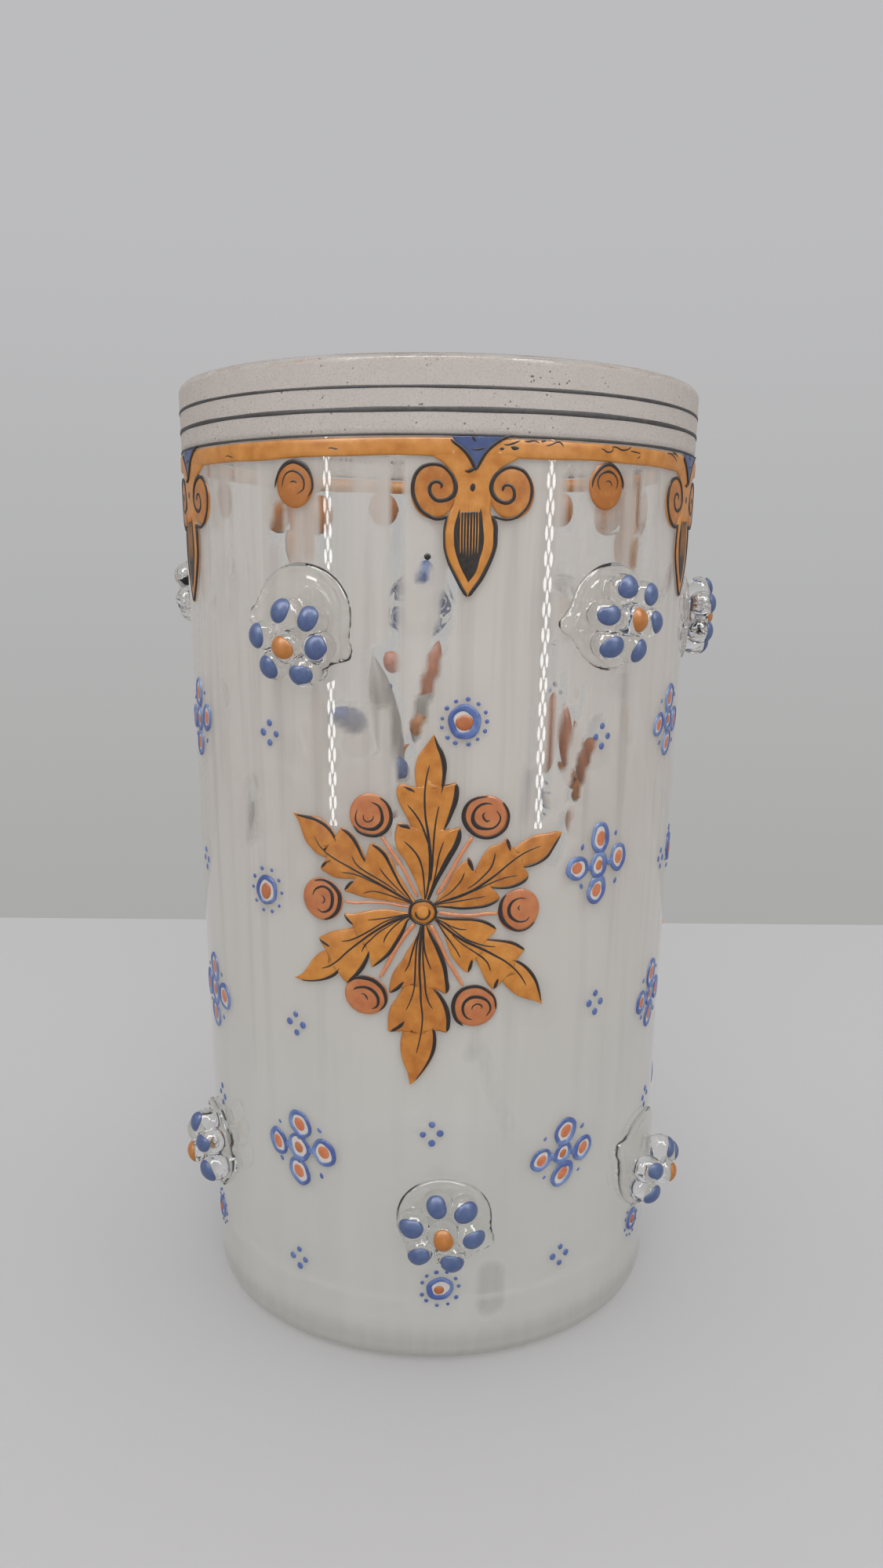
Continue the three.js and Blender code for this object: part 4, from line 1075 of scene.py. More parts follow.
    def opal(self, palette: Palette) -> None:
        """Lays the cased layer as a thin closed cup inside the glass.

        Its outer side runs from the middle of the base out, round the foot and up the wall; its
        inner side comes back the same way and carries no cover of its own.
        """
        angle = degrees(self.opal_around)[None]
        floor = np.linspace(0.0, 1.0, 6)
        bend = np.linspace(0.0, 0.5, 6)[1:] * np.pi
        wall = np.linspace(self.opal_foot + self.opal_round, self.stain_from + 1.0, self.opal_rows)
        foot = wall_radius(wall[0]) - self.opal_depth - self.opal_round
        curve = foot + self.opal_round * np.sin(bend)
        radius = np.concatenate((floor * foot, curve, wall_radius(wall) - self.opal_depth))
        rise = self.opal_foot + self.opal_round * (1.0 - np.cos(bend))
        height = np.concatenate((np.full(6, self.opal_foot), rise, wall))
        outer = len(radius)
        back = np.arange(outer - 1, 10, -18)
        inner = np.maximum(np.append(radius[back], floor[::-1] * foot) - self.opal_thickness, 0.0)
        radius = np.append(radius, inner)[:, None]
        low = np.full(6, self.opal_foot + self.opal_thickness)
        height = np.concatenate((height, height[back], low))[:, None]
        cover = self.cover(angle, height)
        cover[:6] = self.opal_floor
        cover[outer:] = 0.0
        skin = Skin("opal_layer", ("opal",))
        skin.lay(turned(angle, radius, height), tone=cover)
        skin.piece(palette, Slot.CLEAR)

    def stain(self, palette: Palette) -> None:
        """Lays the frosted band under the lip as a thin closed skin on the wall."""
        angle = degrees(self.stain_around)[None]
        half = WALL / 2.0
        bend = self.stain_bend + half * np.sin(np.linspace(0.15, 1.15, 8))
        up = np.append(np.linspace(self.stain_from, self.stain_bend, 9), bend)
        height = np.concatenate((up, up[::-1]))[:, None]
        over = held((height - TOTAL_HEIGHT + half) / half)
        lift = np.repeat([0.05, -FUSED], len(up))[:, None] - half * (1.0 - np.sqrt(1.0 - over**2))
        ragged = 0.5 + 1.5 * self.waves(3.0 * angle, 0.0 * height, self.stain_seed)
        thin = held((height - self.stain_bend - 0.3 - 0.4 * ragged) / 0.5)
        skin = Skin("frosted_band", ("stain",))
        skin.lay(on_wall(angle, height, lift), tone=1.0 - 0.7 * thin, ring=True)
        skin.piece(palette, Slot.CLEAR)

    def build(self, palette: Palette) -> None:
        """Builds the vessel and both layers."""
        self.glass(palette)
        self.opal(palette)
        self.stain(palette)


@dataclass
class RimLines:
    """The brushed black lines round the top."""

    nodes: tuple[str, ...] = ("rim_line_upper", "rim_line_lower", "border_line")
    around: int = 300
    height: float = 0.18
    sway: float = 0.07
    seed: int = 40

    def build(self, palette: Palette) -> None:
        """Carries a flat half-round profile round the wall; its edges sway as a held brush does."""
        angle = degrees(self.around)
        turn = np.radians(angle)
        part, lift = half_round((0.15, 0.35, 0.5, 0.65, 0.85), self.height)
        for number, node in enumerate(self.nodes):
            low, high = (corner.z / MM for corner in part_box(node))
            phase = np.random.default_rng(self.seed + number).uniform(0.0, ROUND, 4)
            shift = np.sin(2.0 * turn + phase[0]) + 0.6 * np.sin(5.0 * turn + phase[1])
            swell = 1.0 + 0.14 * np.sin(3.0 * turn + phase[2]) + 0.08 * np.sin(17.0 * turn + phase[3])
            middle = (low + high) / 2.0 + self.sway * shift
            height = middle + (high - low) / 2.0 * swell * part[:, None]
            skin = Skin(node + "_brushed", ("banded",))
            skin.lay(on_wall(angle, height, lift[:, None]), tone=0.35, ring=True)
            skin.piece(palette, Slot.BLACK, node)


@dataclass
class Border:
    """The ochre band with its pendants, the blue dips at its top edge and the curled discs."""

    pendants: tuple[float, ...] = (6.5, 65.7, 117.7, 170.7, 222.7, 294.1)
    discs: Spots = (
        (34.3, 177.8), (91.0, 177.9), (143.5, 177.8), (196.0, 178.0), (257.7, 177.8), (331.6, 177.5),
    )
    stretch: tuple[float, ...] = (1.0, 1.0, 1.0, 1.0, 1.0, 1.075)
    around: int = 360
    thickness: float = 0.36
    line_rise: float = 0.1
    disc_axes: tuple[float, float] = (4.1, 4.35)
    scrolls: str = "-72,-93,41,49 72,-94,43,47"
    left_edge: str = """-88,-24 -72,-34 -59,-41 -49,-50 -41,-62 -34,-85 -36,-115 -44,-133 -48,-149
        -51,-165 -51,-180 -50,-196 -44,-214 -36,-230 -27,-247 -18,-264 -7,-281"""
    right_edge: str = """98,-24 81,-35 67,-42 54,-49 46,-60 36,-85 33,-115 33,-132 40,-144 43,-157
        43,-171 43,-187 39,-202 33,-218 24,-236 14,-253 -7,-281"""
    spine: str = "5,-24 3,-80 -2,-130 -4,-180 -5,-230 -7,-281"
    core_left: str = "-23,-130 -28,-151 -30,-177 -28,-198 -22,-224 -15,-239 -7,-254"
    core_right: str = "13,-128 17,-149 18,-170 16,-198 11,-224 5,-239 -7,-254"
    core_spine: str = "-5,-129 -7,-254"
    scratches: tuple[float, ...] = (-2.15, -1.65, -1.15, -0.6, -0.05, 0.45, 0.95)
    scratch_rise: float = 0.08
    worn_rise: float = 0.07
    dip_left: str = "-40,2 -33,-8 -24,-15 -14,-24 -6,-34 0,-45 3,-56"
    dip_right: str = "66,2 53,-1 42,-7 30,-16 20,-26 13,-37 3,-56"
    dip_spine: str = "13,2 3,-56"
    dip_base: float = 0.32
    dip_rise: float = 0.22

    def band(self) -> Array:
        """Carries a flat profile with rounded edges round the wall; its lower edge wavers a little."""
        angle = degrees(self.around)
        turn = np.radians(angle)
        low = BAND_HEIGHT - 0.35 + 0.12 * np.sin(7.0 * turn) + 0.08 * np.sin(19.0 * turn + 1.0)
        share = np.array([0.0, 0.03, 0.12, 0.35, 0.65, 0.88, 0.97, 1.0, 1.0, 0.0])[:, None]
        rise = np.array([0.0, 0.6, 0.95, 1.0, 1.0, 0.95, 0.6, 0.0, 0.0, 0.0])[:, None] * self.thickness
        rise[-2:] = -FUSED
        return on_wall(angle, BAND_TOP - share * low, rise)

    def drawing(self, skin: Skin, place: Place, lines: list[Array], top: float, rise: float) -> None:
        """Lays dark brush strokes of a motif on its enamel."""
        for line in lines:
            skin.lay(place.brush(line, top, rise), "ink", tone=0.4)

    def pendant(self, skin: Skin, place: Place, tall: float, top: float) -> None:
        """Lays one pendant: its ground, two scrolls, line work, dark core with scratches, and pip."""
        edges = (drawn(line) * [1.0, tall] for line in (self.left_edge, self.right_edge, self.spine))
        skin.lay(place.ruled(edges, self.thickness))
        ovals = drawn(self.scrolls) * [1.0, tall, 10.0, 10.0]
        curls = place.dabs(ovals[:, :2], ovals[:, 2:], 0.0, self.thickness, FLAT_TOP, around=64)
        skin.lay(curls, tone=0.25)
        lines = [line * [1.0, tall, 1.0] for line in strokes(SCROLL_LINES + ";" + LANCE_LINES, 1.1)]
        self.drawing(skin, place, lines, top, self.line_rise)
        core = (drawn(line) * [1.0, tall] for line in (self.core_left, self.core_right, self.core_spine))
        skin.lay(place.ruled(core, self.line_rise, base=top, count=60), "ink", tone=0.45)
        for across in self.scratches:
            low = -21.6 + 0.6 * abs(across + 0.6)
            points = (across, -12.0, 0.1), (1.05 * across, -16.5, 0.2), (across - 0.05, low, 0.1)
            line = np.array(points) * [1.0, tall, 1.0]
            skin.lay(place.brush(line, top + 2.0 * LAPPED, self.scratch_rise), tone=0.7)
        middle, axes = np.array([[-0.15, -8.6]]), np.array([[0.5, 0.75]])
        skin.lay(place.dabs(middle, axes, -8.0, self.line_rise, base=top), "ink", tone=0.45)

    def build(self, palette: Palette) -> None:
        """Builds the band with its pendants and discs as one piece, and the dips one by one."""
        skin = Skin("border_painted", ("orange", "ink"))
        skin.lay(self.band(), ring=True)
        top = self.thickness - LAPPED
        places = [Place(angle, BAND_TOP) for angle in self.pendants]
        for place, tall in zip(places, self.stretch):
            self.pendant(skin, place, tall, top)
        for number, spot in enumerate(self.discs):
            place = Place(*spot)
            oval = place.dabs(CENTRE, np.array([self.disc_axes]), 0.0, self.thickness, FLAT_TOP, around=64)
            skin.lay(oval, tone=0.1)
            lines = (DISC_B_LINES, DISC_A_LINES)[number % 2]
            self.drawing(skin, place, strokes(lines, 1.3), top, self.line_rise)
        self.drawing(skin, places[0], strokes(WORN_LINES, 1.6, 0.03), top, self.worn_rise)
        skin.piece(palette, Slot.OCHRE, "enamel_border")
        for number, place in enumerate(places):
            dip = Skin(f"spandrel_painted_{number + 1}", ("dab_blue", "ink"))
            edges = map(drawn, (self.dip_left, self.dip_right, self.dip_spine))
            dip.lay(place.ruled(edges, self.dip_rise, base=self.dip_base, count=40), tone=0.12)
            self.drawing(dip, place, strokes(DIP_LINES, 1.1), self.dip_base + 0.18, self.line_rise)
            dip.piece(palette, Slot.BLUE, f"spandrel_{number + 1}")


@dataclass
class Rosette:
    """A star of six cut leaves round a boss, with a curled berry on a stalk between each two."""

    places: Spots = ((-2.2, 97.45), (113.0, 97.45), (216.0, 97.45))
    thickness: float = 0.4
    boss: float = 2.45
    stalk_rise: float = 0.3
    berry_rise: float = 0.36
    curl_rise: float = 0.08
    shade_rise: float = 0.14
    shade_sunk: float = 0.12
    vein_rise: float = 0.09
    rim_width: float = 0.5
    middle: tuple[float, float] = (-0.2, 0.1)
    join_reach: float = 6.0
    seed: int = 77
    finishes: tuple[str, ...] = ("orange", "salmon", "ink", "russet")

    def to_boss(self, line: Array) -> Array:
        """Carries a stroke that ends near the boss on to the boss's rim."""
        if np.hypot(*(line[0, :2] - self.middle)) < np.hypot(*(line[-1, :2] - self.middle)):
            line = line[::-1]
        away = line[-1, :2] - self.middle
        gap = np.hypot(*away)
        if gap < self.boss or gap > self.join_reach:
            return line
        last = np.append(self.middle + away / gap * self.boss, np.maximum(line[-1, 2:], 0.26))
        return np.vstack((line, last))

    def leaf(self, skin: Skin, place: Place, leaf: PaintedLeaf) -> None:
        """Lays one leaf between its two edges, and the strokes on it.

        The tip is the point of the edge that is farthest from the boss. The middle line runs from
        the leaf's foot along its main vein to the tip.
        """
        edge = drawn(leaf.outline)
        feet = [edge[end] - self.middle for end in (0, -1)]
        feet = [self.middle + away / np.hypot(*away) * (self.boss - 0.1) for away in feet]
        edge = np.vstack((feet[0], edge, feet[1]))
        tip = int(np.hypot(*edge.T).argmax())
        veins = strokes(leaf.veins, 1.35, 0.04)
        spine = np.vstack(((edge[0] + edge[-1]) / 2.0, veins[0][::-1, :2][1:], edge[tip]))
        blade = place.ruled((edge[: tip + 1], edge[tip:][::-1], spine), self.thickness, count=120)
        skin.lay(blade, tone=0.42 + 0.12 * np.sin(1.7 * edge[tip, 0] + edge[tip, 1]))
        for line in strokes(leaf.shades, 1.3):
            base = self.thickness - self.shade_sunk
            skin.lay(place.brush(self.to_boss(line), base, self.shade_rise), "ink", tone=0.4)
        for line in veins:
            base = self.thickness - LAPPED
            skin.lay(place.brush(self.to_boss(line), base, self.vein_rise), "ink", tone=0.4)

    def berry(self, skin: Skin, place: Place, berry: PaintedBerry) -> None:
        """Lays one berry, its curls and its stalk."""
        oval = drawn(berry.oval) * [1.0, 1.0, 10.0, 10.0]
        stalk = drawn(berry.stalk) * [1.0, 1.0, 1.35]
        skin.lay(place.brush(stalk, 0.0, self.stalk_rise), "salmon", tone=0.75)
        skin.lay(place.dabs(oval[:, :2], oval[:, 2:], 0.0, self.berry_rise, 6.0, around=56), "russet")
        for line in strokes(berry.strokes):
            skin.lay(place.brush(line, self.berry_rise - LAPPED, self.curl_rise), "ink", tone=0.45)

    def knob(self, skin: Skin, place: Place) -> None:
        """Lays the boss in the middle: a flat disc, its rim, a pip and a curved stroke under it."""
        middle = np.array([self.middle])
        size = np.full((1, 2), self.boss)
        skin.lay(place.dabs(middle, size, 0.0, self.thickness + 0.1, 5.0, around=48), tone=0.4)
        wide = np.array([self.rim_width])
        rim = place.hoops(middle, size + wide / 2.0, wide, 0.0, self.thickness + 0.2, self.seed)
        skin.lay(rim, "ink", tone=0.45, ring=True)
        skin.lay(place.dabs(middle + 0.1, size * 0.5, 0.0, 0.25, base=self.thickness), tone=0.7)
        arc = np.radians(np.linspace(170.0, 395.0, 9))
        curve = np.column_stack((np.cos(arc), np.sin(arc), np.full(9, 0.34)))
        curve = curve * [1.35, 1.35, 1.0] + [*self.middle, 0.0]
        skin.lay(place.brush(curve, self.thickness + 0.16, 0.12), "ink", tone=0.4)

    def build(self, palette: Palette) -> None:
        """Builds each star."""
        for number, spot in enumerate(self.places):
            place = Place(*spot)
            skin = Skin(f"star_rosette_painted_{number + 1}", self.finishes)
            for berry in BERRIES:
                self.berry(skin, place, berry)
            for leaf in LEAVES:
                self.leaf(skin, place, leaf)
            self.knob(skin, place)
            skin.piece(palette, Slot.OCHRE, f"star_rosette_{number + 1}")


class SunKind(Enum):
    """The three ways in which a sun is painted: outer half-axes, brush width, pip, dots and reach."""

    LOW = ((2.8, 2.5), 1.0, (1.05, 0.95), 11, (3.9, 3.8))
    SLANTED = ((2.8, 3.2), 0.85, (1.35, 1.75), 10, (4.2, 4.6))
    HIGH = ((3.2, 3.25), 1.4, (1.75, 1.5), 13, (4.3, 4.2))


@dataclass
class Suns:
    """Blue rings on a white ground, with an ochre pip inside and small dots round about."""

    places: tuple[tuple[float, float, SunKind], ...] = (
        (2.0, 17.2, SunKind.LOW), (61.4, 18.0, SunKind.LOW), (117.0, 18.0, SunKind.LOW),
        (170.0, 18.0, SunKind.LOW), (222.0, 18.0, SunKind.LOW), (290.3, 16.6, SunKind.LOW),
        (76.1, 101.9, SunKind.SLANTED), (179.1, 101.9, SunKind.SLANTED), (321.0, 98.5, SunKind.SLANTED),
        (5.6, 134.35, SunKind.HIGH), (117.0, 134.35, SunKind.HIGH), (222.0, 134.35, SunKind.HIGH),
    )
    rise: float = 0.42
    slant: float = -14.0
    ground_rise: float = 0.16
    dot_rise: float = 0.2
    seed: int = 100
    ring_seed: int = 200

    def build(self, palette: Palette) -> None:
        """Builds each sun: ground, ring, pip and dots."""
        for number, (angle, height, kind) in enumerate(self.places):
            axes, width, pip, count, reach = kind.value
            rng = np.random.default_rng(self.seed + number)
            place, size = Place(angle, height), np.array([axes])
            tilt = self.slant if kind is SunKind.SLANTED else rng.uniform(-12.0, 12.0)
            skin = Skin(f"sun_painted_{number + 1}", ("blue", "cream", "russet"))
            ground = size - 0.5 * width
            skin.lay(place.dabs(CENTRE, ground, tilt, self.ground_rise, FLAT_TOP, around=36), "cream")
            ring = place.hoops(CENTRE, size, np.array([width]), tilt, self.rise, self.ring_seed + number)
            tone = 0.32 + 0.28 * np.sin(np.linspace(0.0, ROUND, ring.shape[-2]) + rng.uniform(0.0, 2.0))
            skin.lay(ring, tone=tone, ring=True)
            off = rng.uniform(-0.25, 0.05, (1, 2))
            heart = place.dabs(off, np.array([pip]), tilt, self.rise, 3.0, base=0.1)
            skin.lay(heart, "russet", tone=0.3)
            turn = (np.arange(count) + rng.uniform(-0.16, 0.16, count)) * ROUND / count
            dots = np.column_stack((np.cos(turn), np.sin(turn))) * reach
            dots = dots + rng.uniform(-0.12, 0.12, (count, 2))
            small = rng.uniform(0.34, 0.46, (count, 1)) * [1.0, 1.1]
            skin.lay(place.dabs(dots, small, np.degrees(turn), self.dot_rise, around=12), tone=0.35)
            skin.piece(palette, Slot.BLUE, f"sun_disc_{number + 1}")


class PetalPlan(Enum):
    """Three ways in which a quatrefoil leans: petal middles, half-axes with turn, and dot places."""

    LEFT = (
        ((0.3, 5.3), (6.2, 0.3), (0.1, -5.3), (-5.7, 0.0), (0.1, 0.05)),
        ((2.6, 3.2, 35), (2.75, 3.1, 40), (2.55, 3.2, 38), (2.3, 3.1, 20), (2.6, 3.2, 30)),
        ((-5.1, 4.6), (5.1, 4.9), (-4.7, -3.7), (5.3, -4.9)),
    )
    RIGHT = (
        ((0.5, 4.9), (5.3, 0.0), (0.0, -4.5), (-5.3, -0.3), (0.0, 0.15)),
        ((2.6, 3.2, -38), (2.25, 2.85, -32), (2.3, 3.2, -45), (2.2, 2.75, -40), (2.0, 2.6, -38)),
        ((5.0, 5.1), (-4.4, 4.4), (4.6, -4.7), (-4.5, -4.1)),
    )
    UPRIGHT = (
        ((-0.2, 5.8), (5.2, 1.0), (-0.6, -4.9), (-6.0, 0.2), (-0.5, 0.25)),
        ((2.55, 3.2, 0), (2.35, 2.95, -12), (2.6, 2.95, -22), (2.75, 2.5, 20), (2.3, 2.8, -15)),
        ((4.3, 6.3), (-4.8, 4.35), (4.7, -3.8), (-4.9, -3.6)),
    )


@dataclass
class Quatrefoils:
    """Four ringed petals round a ringed pip, each with a salmon heart on a white ground."""

    places: tuple[tuple[float, float, PetalPlan], ...] = (
        (31.1, 43.6, PetalPlan.RIGHT), (91.0, 44.95, PetalPlan.LEFT), (143.5, 44.95, PetalPlan.RIGHT),
        (196.0, 44.95, PetalPlan.LEFT), (257.7, 44.95, PetalPlan.RIGHT), (328.2, 44.4, PetalPlan.LEFT),
        (63.7, 70.8, PetalPlan.RIGHT), (170.0, 71.7, PetalPlan.UPRIGHT), (294.5, 70.6, PetalPlan.LEFT),
        (37.9, 104.3, PetalPlan.UPRIGHT), (150.0, 101.85, PetalPlan.RIGHT),
        (253.0, 101.85, PetalPlan.LEFT),
        (63.5, 131.4, PetalPlan.RIGHT), (170.0, 131.0, PetalPlan.LEFT), (292.9, 130.3, PetalPlan.UPRIGHT),
    )
    width: float = 0.95
    rise: float = 0.32
    ground_rise: float = 0.14
    heart_rise: float = 0.28
    neck_size: float = 0.8
    neck_rise: float = 0.3
    dot_rise: float = 0.2
    seed: int = 300
    ring_seed: int = 400
    finishes: tuple[str, ...] = ("blue", "cream", "salmon", "russet")

    def build(self, palette: Palette) -> None:
        """Builds each quatrefoil: white grounds, rings, blue necks between them, hearts and dots."""
        for number, (angle, height, plan) in enumerate(self.places):
            middles, shapes, dots = (np.array(part, float) for part in plan.value)
            rng = np.random.default_rng(self.seed + number)
            place = Place(angle, height)
            middles = middles + rng.uniform(-0.12, 0.12, middles.shape)
            axes, turn = shapes[:, :2] * rng.uniform(0.96, 1.03, (5, 2)), shapes[:, 2]
            skin = Skin(f"quatrefoil_painted_{number + 1}", self.finishes)
            ground = place.dabs(middles, axes - 0.4, turn, self.ground_rise, FLAT_TOP, around=32)
            skin.lay(ground, "cream")
            size = np.full((4, 2), self.neck_size)
            necks = place.dabs(middles[:4] * 0.5, size, 0.0, self.neck_rise, 4.0, around=16)
            skin.lay(necks, tone=0.55)
            wide = np.full(5, self.width) * rng.uniform(0.9, 1.15, 5)
            ring = place.hoops(middles, axes, wide, turn, self.rise, self.ring_seed + number, around=36)
            swirl = np.sin(np.linspace(0.0, ROUND, ring.shape[-2]) + rng.uniform(0.0, 6.0))
            skin.lay(ring, tone=0.45 + 0.3 * swirl, ring=True)
            spots = middles[:4] + rng.uniform(-0.12, 0.12, (4, 2))
            hearts = place.dabs(spots, axes[:4] * [0.5, 0.52], turn[:4], self.heart_rise, 3.5)
            skin.lay(hearts, "salmon")
            pip = place.dabs(middles[4:], axes[4:] * [0.44, 0.42], turn[4:], self.heart_rise, 3.5)
            skin.lay(pip, "russet")
            small = rng.uniform(0.34, 0.55, (4, 1)) * [0.75, 1.25]
            dots = dots + rng.uniform(-0.15, 0.15, (4, 2))
            skin.lay(place.dabs(dots, small, turn[:4], self.dot_rise, around=12), tone=0.35)
            skin.piece(palette, Slot.BLUE, f"quatrefoil_{number + 1}")


@dataclass
class DotClusters:
    """Four small blue dots in a diamond, in each gap of the pattern."""

    places: Spots = (
        (-36.6, 130.5), (36.6, 130.5), (91.0, 131.0), (143.5, 131.0), (196.0, 131.0), (257.7, 131.0),
        (65.8, 101.1), (-68.1, 99.7),
        (-31.7, 71.6), (38.5, 75.2), (91.0, 71.7), (143.5, 71.7), (196.0, 71.7), (257.7, 71.7),
        (66.0, 46.0), (-63.8, 46.4), (-0.1, 51.4), (117.0, 46.0), (170.0, 46.0), (222.0, 46.0),
        (-32.7, 19.0), (31.6, 20.4), (91.0, 19.5), (143.5, 19.5), (196.0, 19.5), (257.7, 19.5),
    )
    reach: float = 1.75
    rise: float = 0.22
    seed: int = 500

    def build(self, palette: Palette) -> None:
        """Builds all the clusters as one piece."""
        skin = Skin("dot_clusters_painted", ("blue",))
        rng = np.random.default_rng(self.seed)
        corner = np.array([[0.0, 1.1], [0.95, 0.0], [0.0, -1.1], [-0.95, 0.0]]) * self.reach
        for spot in self.places:
            dots = corner + rng.uniform(-0.18, 0.18, (4, 2))
            size = rng.uniform(0.6, 0.76, (4, 1)) * [1.0, 1.05]
            turn = rng.uniform(-20.0, 20.0, 4)
            skin.lay(Place(*spot).dabs(dots, size, turn, self.rise, around=14), tone=0.4)
        skin.piece(palette, Slot.BLUE)


@dataclass
class FarSprays:
    """Loose leaf and bud strokes on the far side, which the front's clear streaks let through.

    Each is a pointed stroke: angle and height of its middle, half-width, half-length, lean to the
    right at its top in degrees, and finish. Strokes in the grey wash finish are painted shade: they
    stand for the shaded far wall that the streaks show.
    Places on the far wall were worked out by a scratch script that follows the line of sight.
    """

    lines: tuple[tuple[float, float, float, float, float, str], ...] = (
        (181.5, 134.8, 2.8, 9.0, -15.0, "russet"), (185.1, 120.8, 2.4, 3.6, -20.0, "orange"),
        (193.4, 137.8, 2.8, 3.4, 40.0, "salmon"), (207.8, 122.4, 3.6, 6.0, 70.0, "blue"),
        (191.0, 108.9, 2.6, 3.8, 30.0, "blue"), (144.6, 119.8, 2.4, 11.0, -4.0, "russet"),
        (138.6, 119.0, 3.2, 9.5, 8.0, "russet"), (131.1, 115.2, 3.2, 9.5, 22.0, "russet"),
        (134.2, 131.2, 1.1, 1.6, 0.0, "russet"), (148.5, 103.2, 2.4, 7.0, -6.0, "blue"),
        (213.5, 122.0, 1.8, 4.6, -40.0, "blue"), (176.8, 121.5, 1.6, 4.2, 30.0, "russet"),
        # The three grey washes below are painted shade for the far wall's shaded inside.
        (183.7, 161.0, 3.2, 4.2, -10.0, "blue"), (182.6, 129.0, 3.8, 14.0, -14.0, "painted_shade_wash"),
        (195.6, 122.0, 4.6, 18.0, 13.0, "painted_shade_wash"), (190.0, 103.0, 3.6, 8.0, 0.0, "painted_shade_wash"),
    )
    finishes: tuple[str, ...] = ("orange", "russet", "salmon", "blue", "ink", "painted_shade_wash")
    shade_wash_laid: tuple[float, float] = (0.09, 0.08)
    paint_laid: tuple[float, float] = (0.0, 0.3)
    speck_spot: tuple[float, float] = (-1.9, 164.5)

    def build(self, palette: Palette) -> None:
        """Builds strokes, washes of painted shade laid lower than the rest, and one speck, in one piece.
        """
        skin = Skin("far_sprays_painted", self.finishes)
        reach = np.array([-1.0, -0.6, 0.0, 0.6, 1.0])
        for angle, height, wide, tall, lean, finish in self.lines:
            way = np.radians(lean)
            width = 2.0 * wide * np.array([0.12, 0.8, 1.0, 0.7, 0.08])
            line = np.column_stack((reach * tall * np.sin(way), reach * tall * np.cos(way), width))
            base, rise = self.shade_wash_laid if finish == "painted_shade_wash" else self.paint_laid
            skin.lay(Place(angle, height).brush(line, base, rise), finish, tone=0.4)
        speck = Place(*self.speck_spot).dabs(CENTRE, np.array([[0.62, 0.6]]), 0.0, 0.3)
        skin.lay(speck, "ink", tone=0.3)
        skin.piece(palette, Slot.OCHRE)


@dataclass(frozen=True)
class BlobShape:
    """One blob as it sits in the photograph.

    Its disc's shift, its tails in degrees and millimetres, its beads, its disc's size against the
    others, and the beads that still carry enamel. A scratch script worked out the beads' places
    from points picked in the photograph.
    """

    offset: tuple[float, float]
    tails: Spots
    beads: Spots | Array
    scale: float = 1.0
    painted: tuple[int, ...] = (0, 1, 2, 3, 4, 5, 6)


SEEN_BLOBS = {
    "prunt_upper_1": BlobShape(
        (-1.7, 1.3), ((188.0, 2.6), (-20.0, 1.2)),
        ((-0.7, 0.8), (-3.4, 6.7), (2.4, 5.4), (-7.4, 1.7), (4.7, 0.2), (-6.3, -4.0), (0.2, -4.9)), 1.05,
    ),
    "prunt_upper_4": BlobShape(
        (-1.0, 0.4), ((185.0, 1.8), (-25.0, 1.4)),
        ((-0.6, 0.4), (-2.5, 7.2), (4.4, 4.4), (-7.2, 1.2), (5.6, -3.0), (-5.4, -5.2), (0.6, -6.8)),
    ),
    "prunt_upper_5": BlobShape(
        (-2.4, 3.6), ((170.0, 1.2),),
        ((-4.0, 5.0), (-5.8, 9.8), (-9.6, 6.0), (0.2, 8.0), (-8.4, 1.0), (-2.6, -0.2), (1.0, 2.2)),
        0.95, (2, 4),
    ),
    "prunt_upper_6": BlobShape(
        (0.1, 0.2), ((178.0, 2.2), (-33.0, 2.2)),
        ((0.2, -4.6), (-0.5, 1.8), (5.2, 0.6), (-5.7, -2.7), (6.9, -4.4), (-3.3, -8.2), (3.6, -9.3)),
        1.11,
    ),
    "prunt_lower_1": BlobShape(
        (0.4, 0.2), ((-28.0, 1.9),),
        ((-0.1, -0.35), (-1.4, 6.3), (4.2, 5.0), (-6.3, 1.8), (5.8, -0.6), (-4.8, -3.9), (1.7, -5.4)),
    ),
    "prunt_lower_2": BlobShape(
        (-3.2, 0.9), ((152.0, 3.0), (-104.0, 0.6)),
        ((1.2, -4.0), (-9.0, 0.6), (-9.3, -4.5), (0.6, 1.9), (6.9, -1.8)), 1.14, (0, 1, 2, 3, 4),
    ),
    "prunt_lower_6": BlobShape(
        (-1.2, 1.6), ((-75.0, 0.6), (140.0, 1.4)),
        ((0.2, 1.0), (2.7, 8.9), (5.6, 5.2), (7.6, -0.2), (-5.6, 3.6), (-6.0, -1.8)), 0.95, (0, 1, 2, 3),
    ),
}


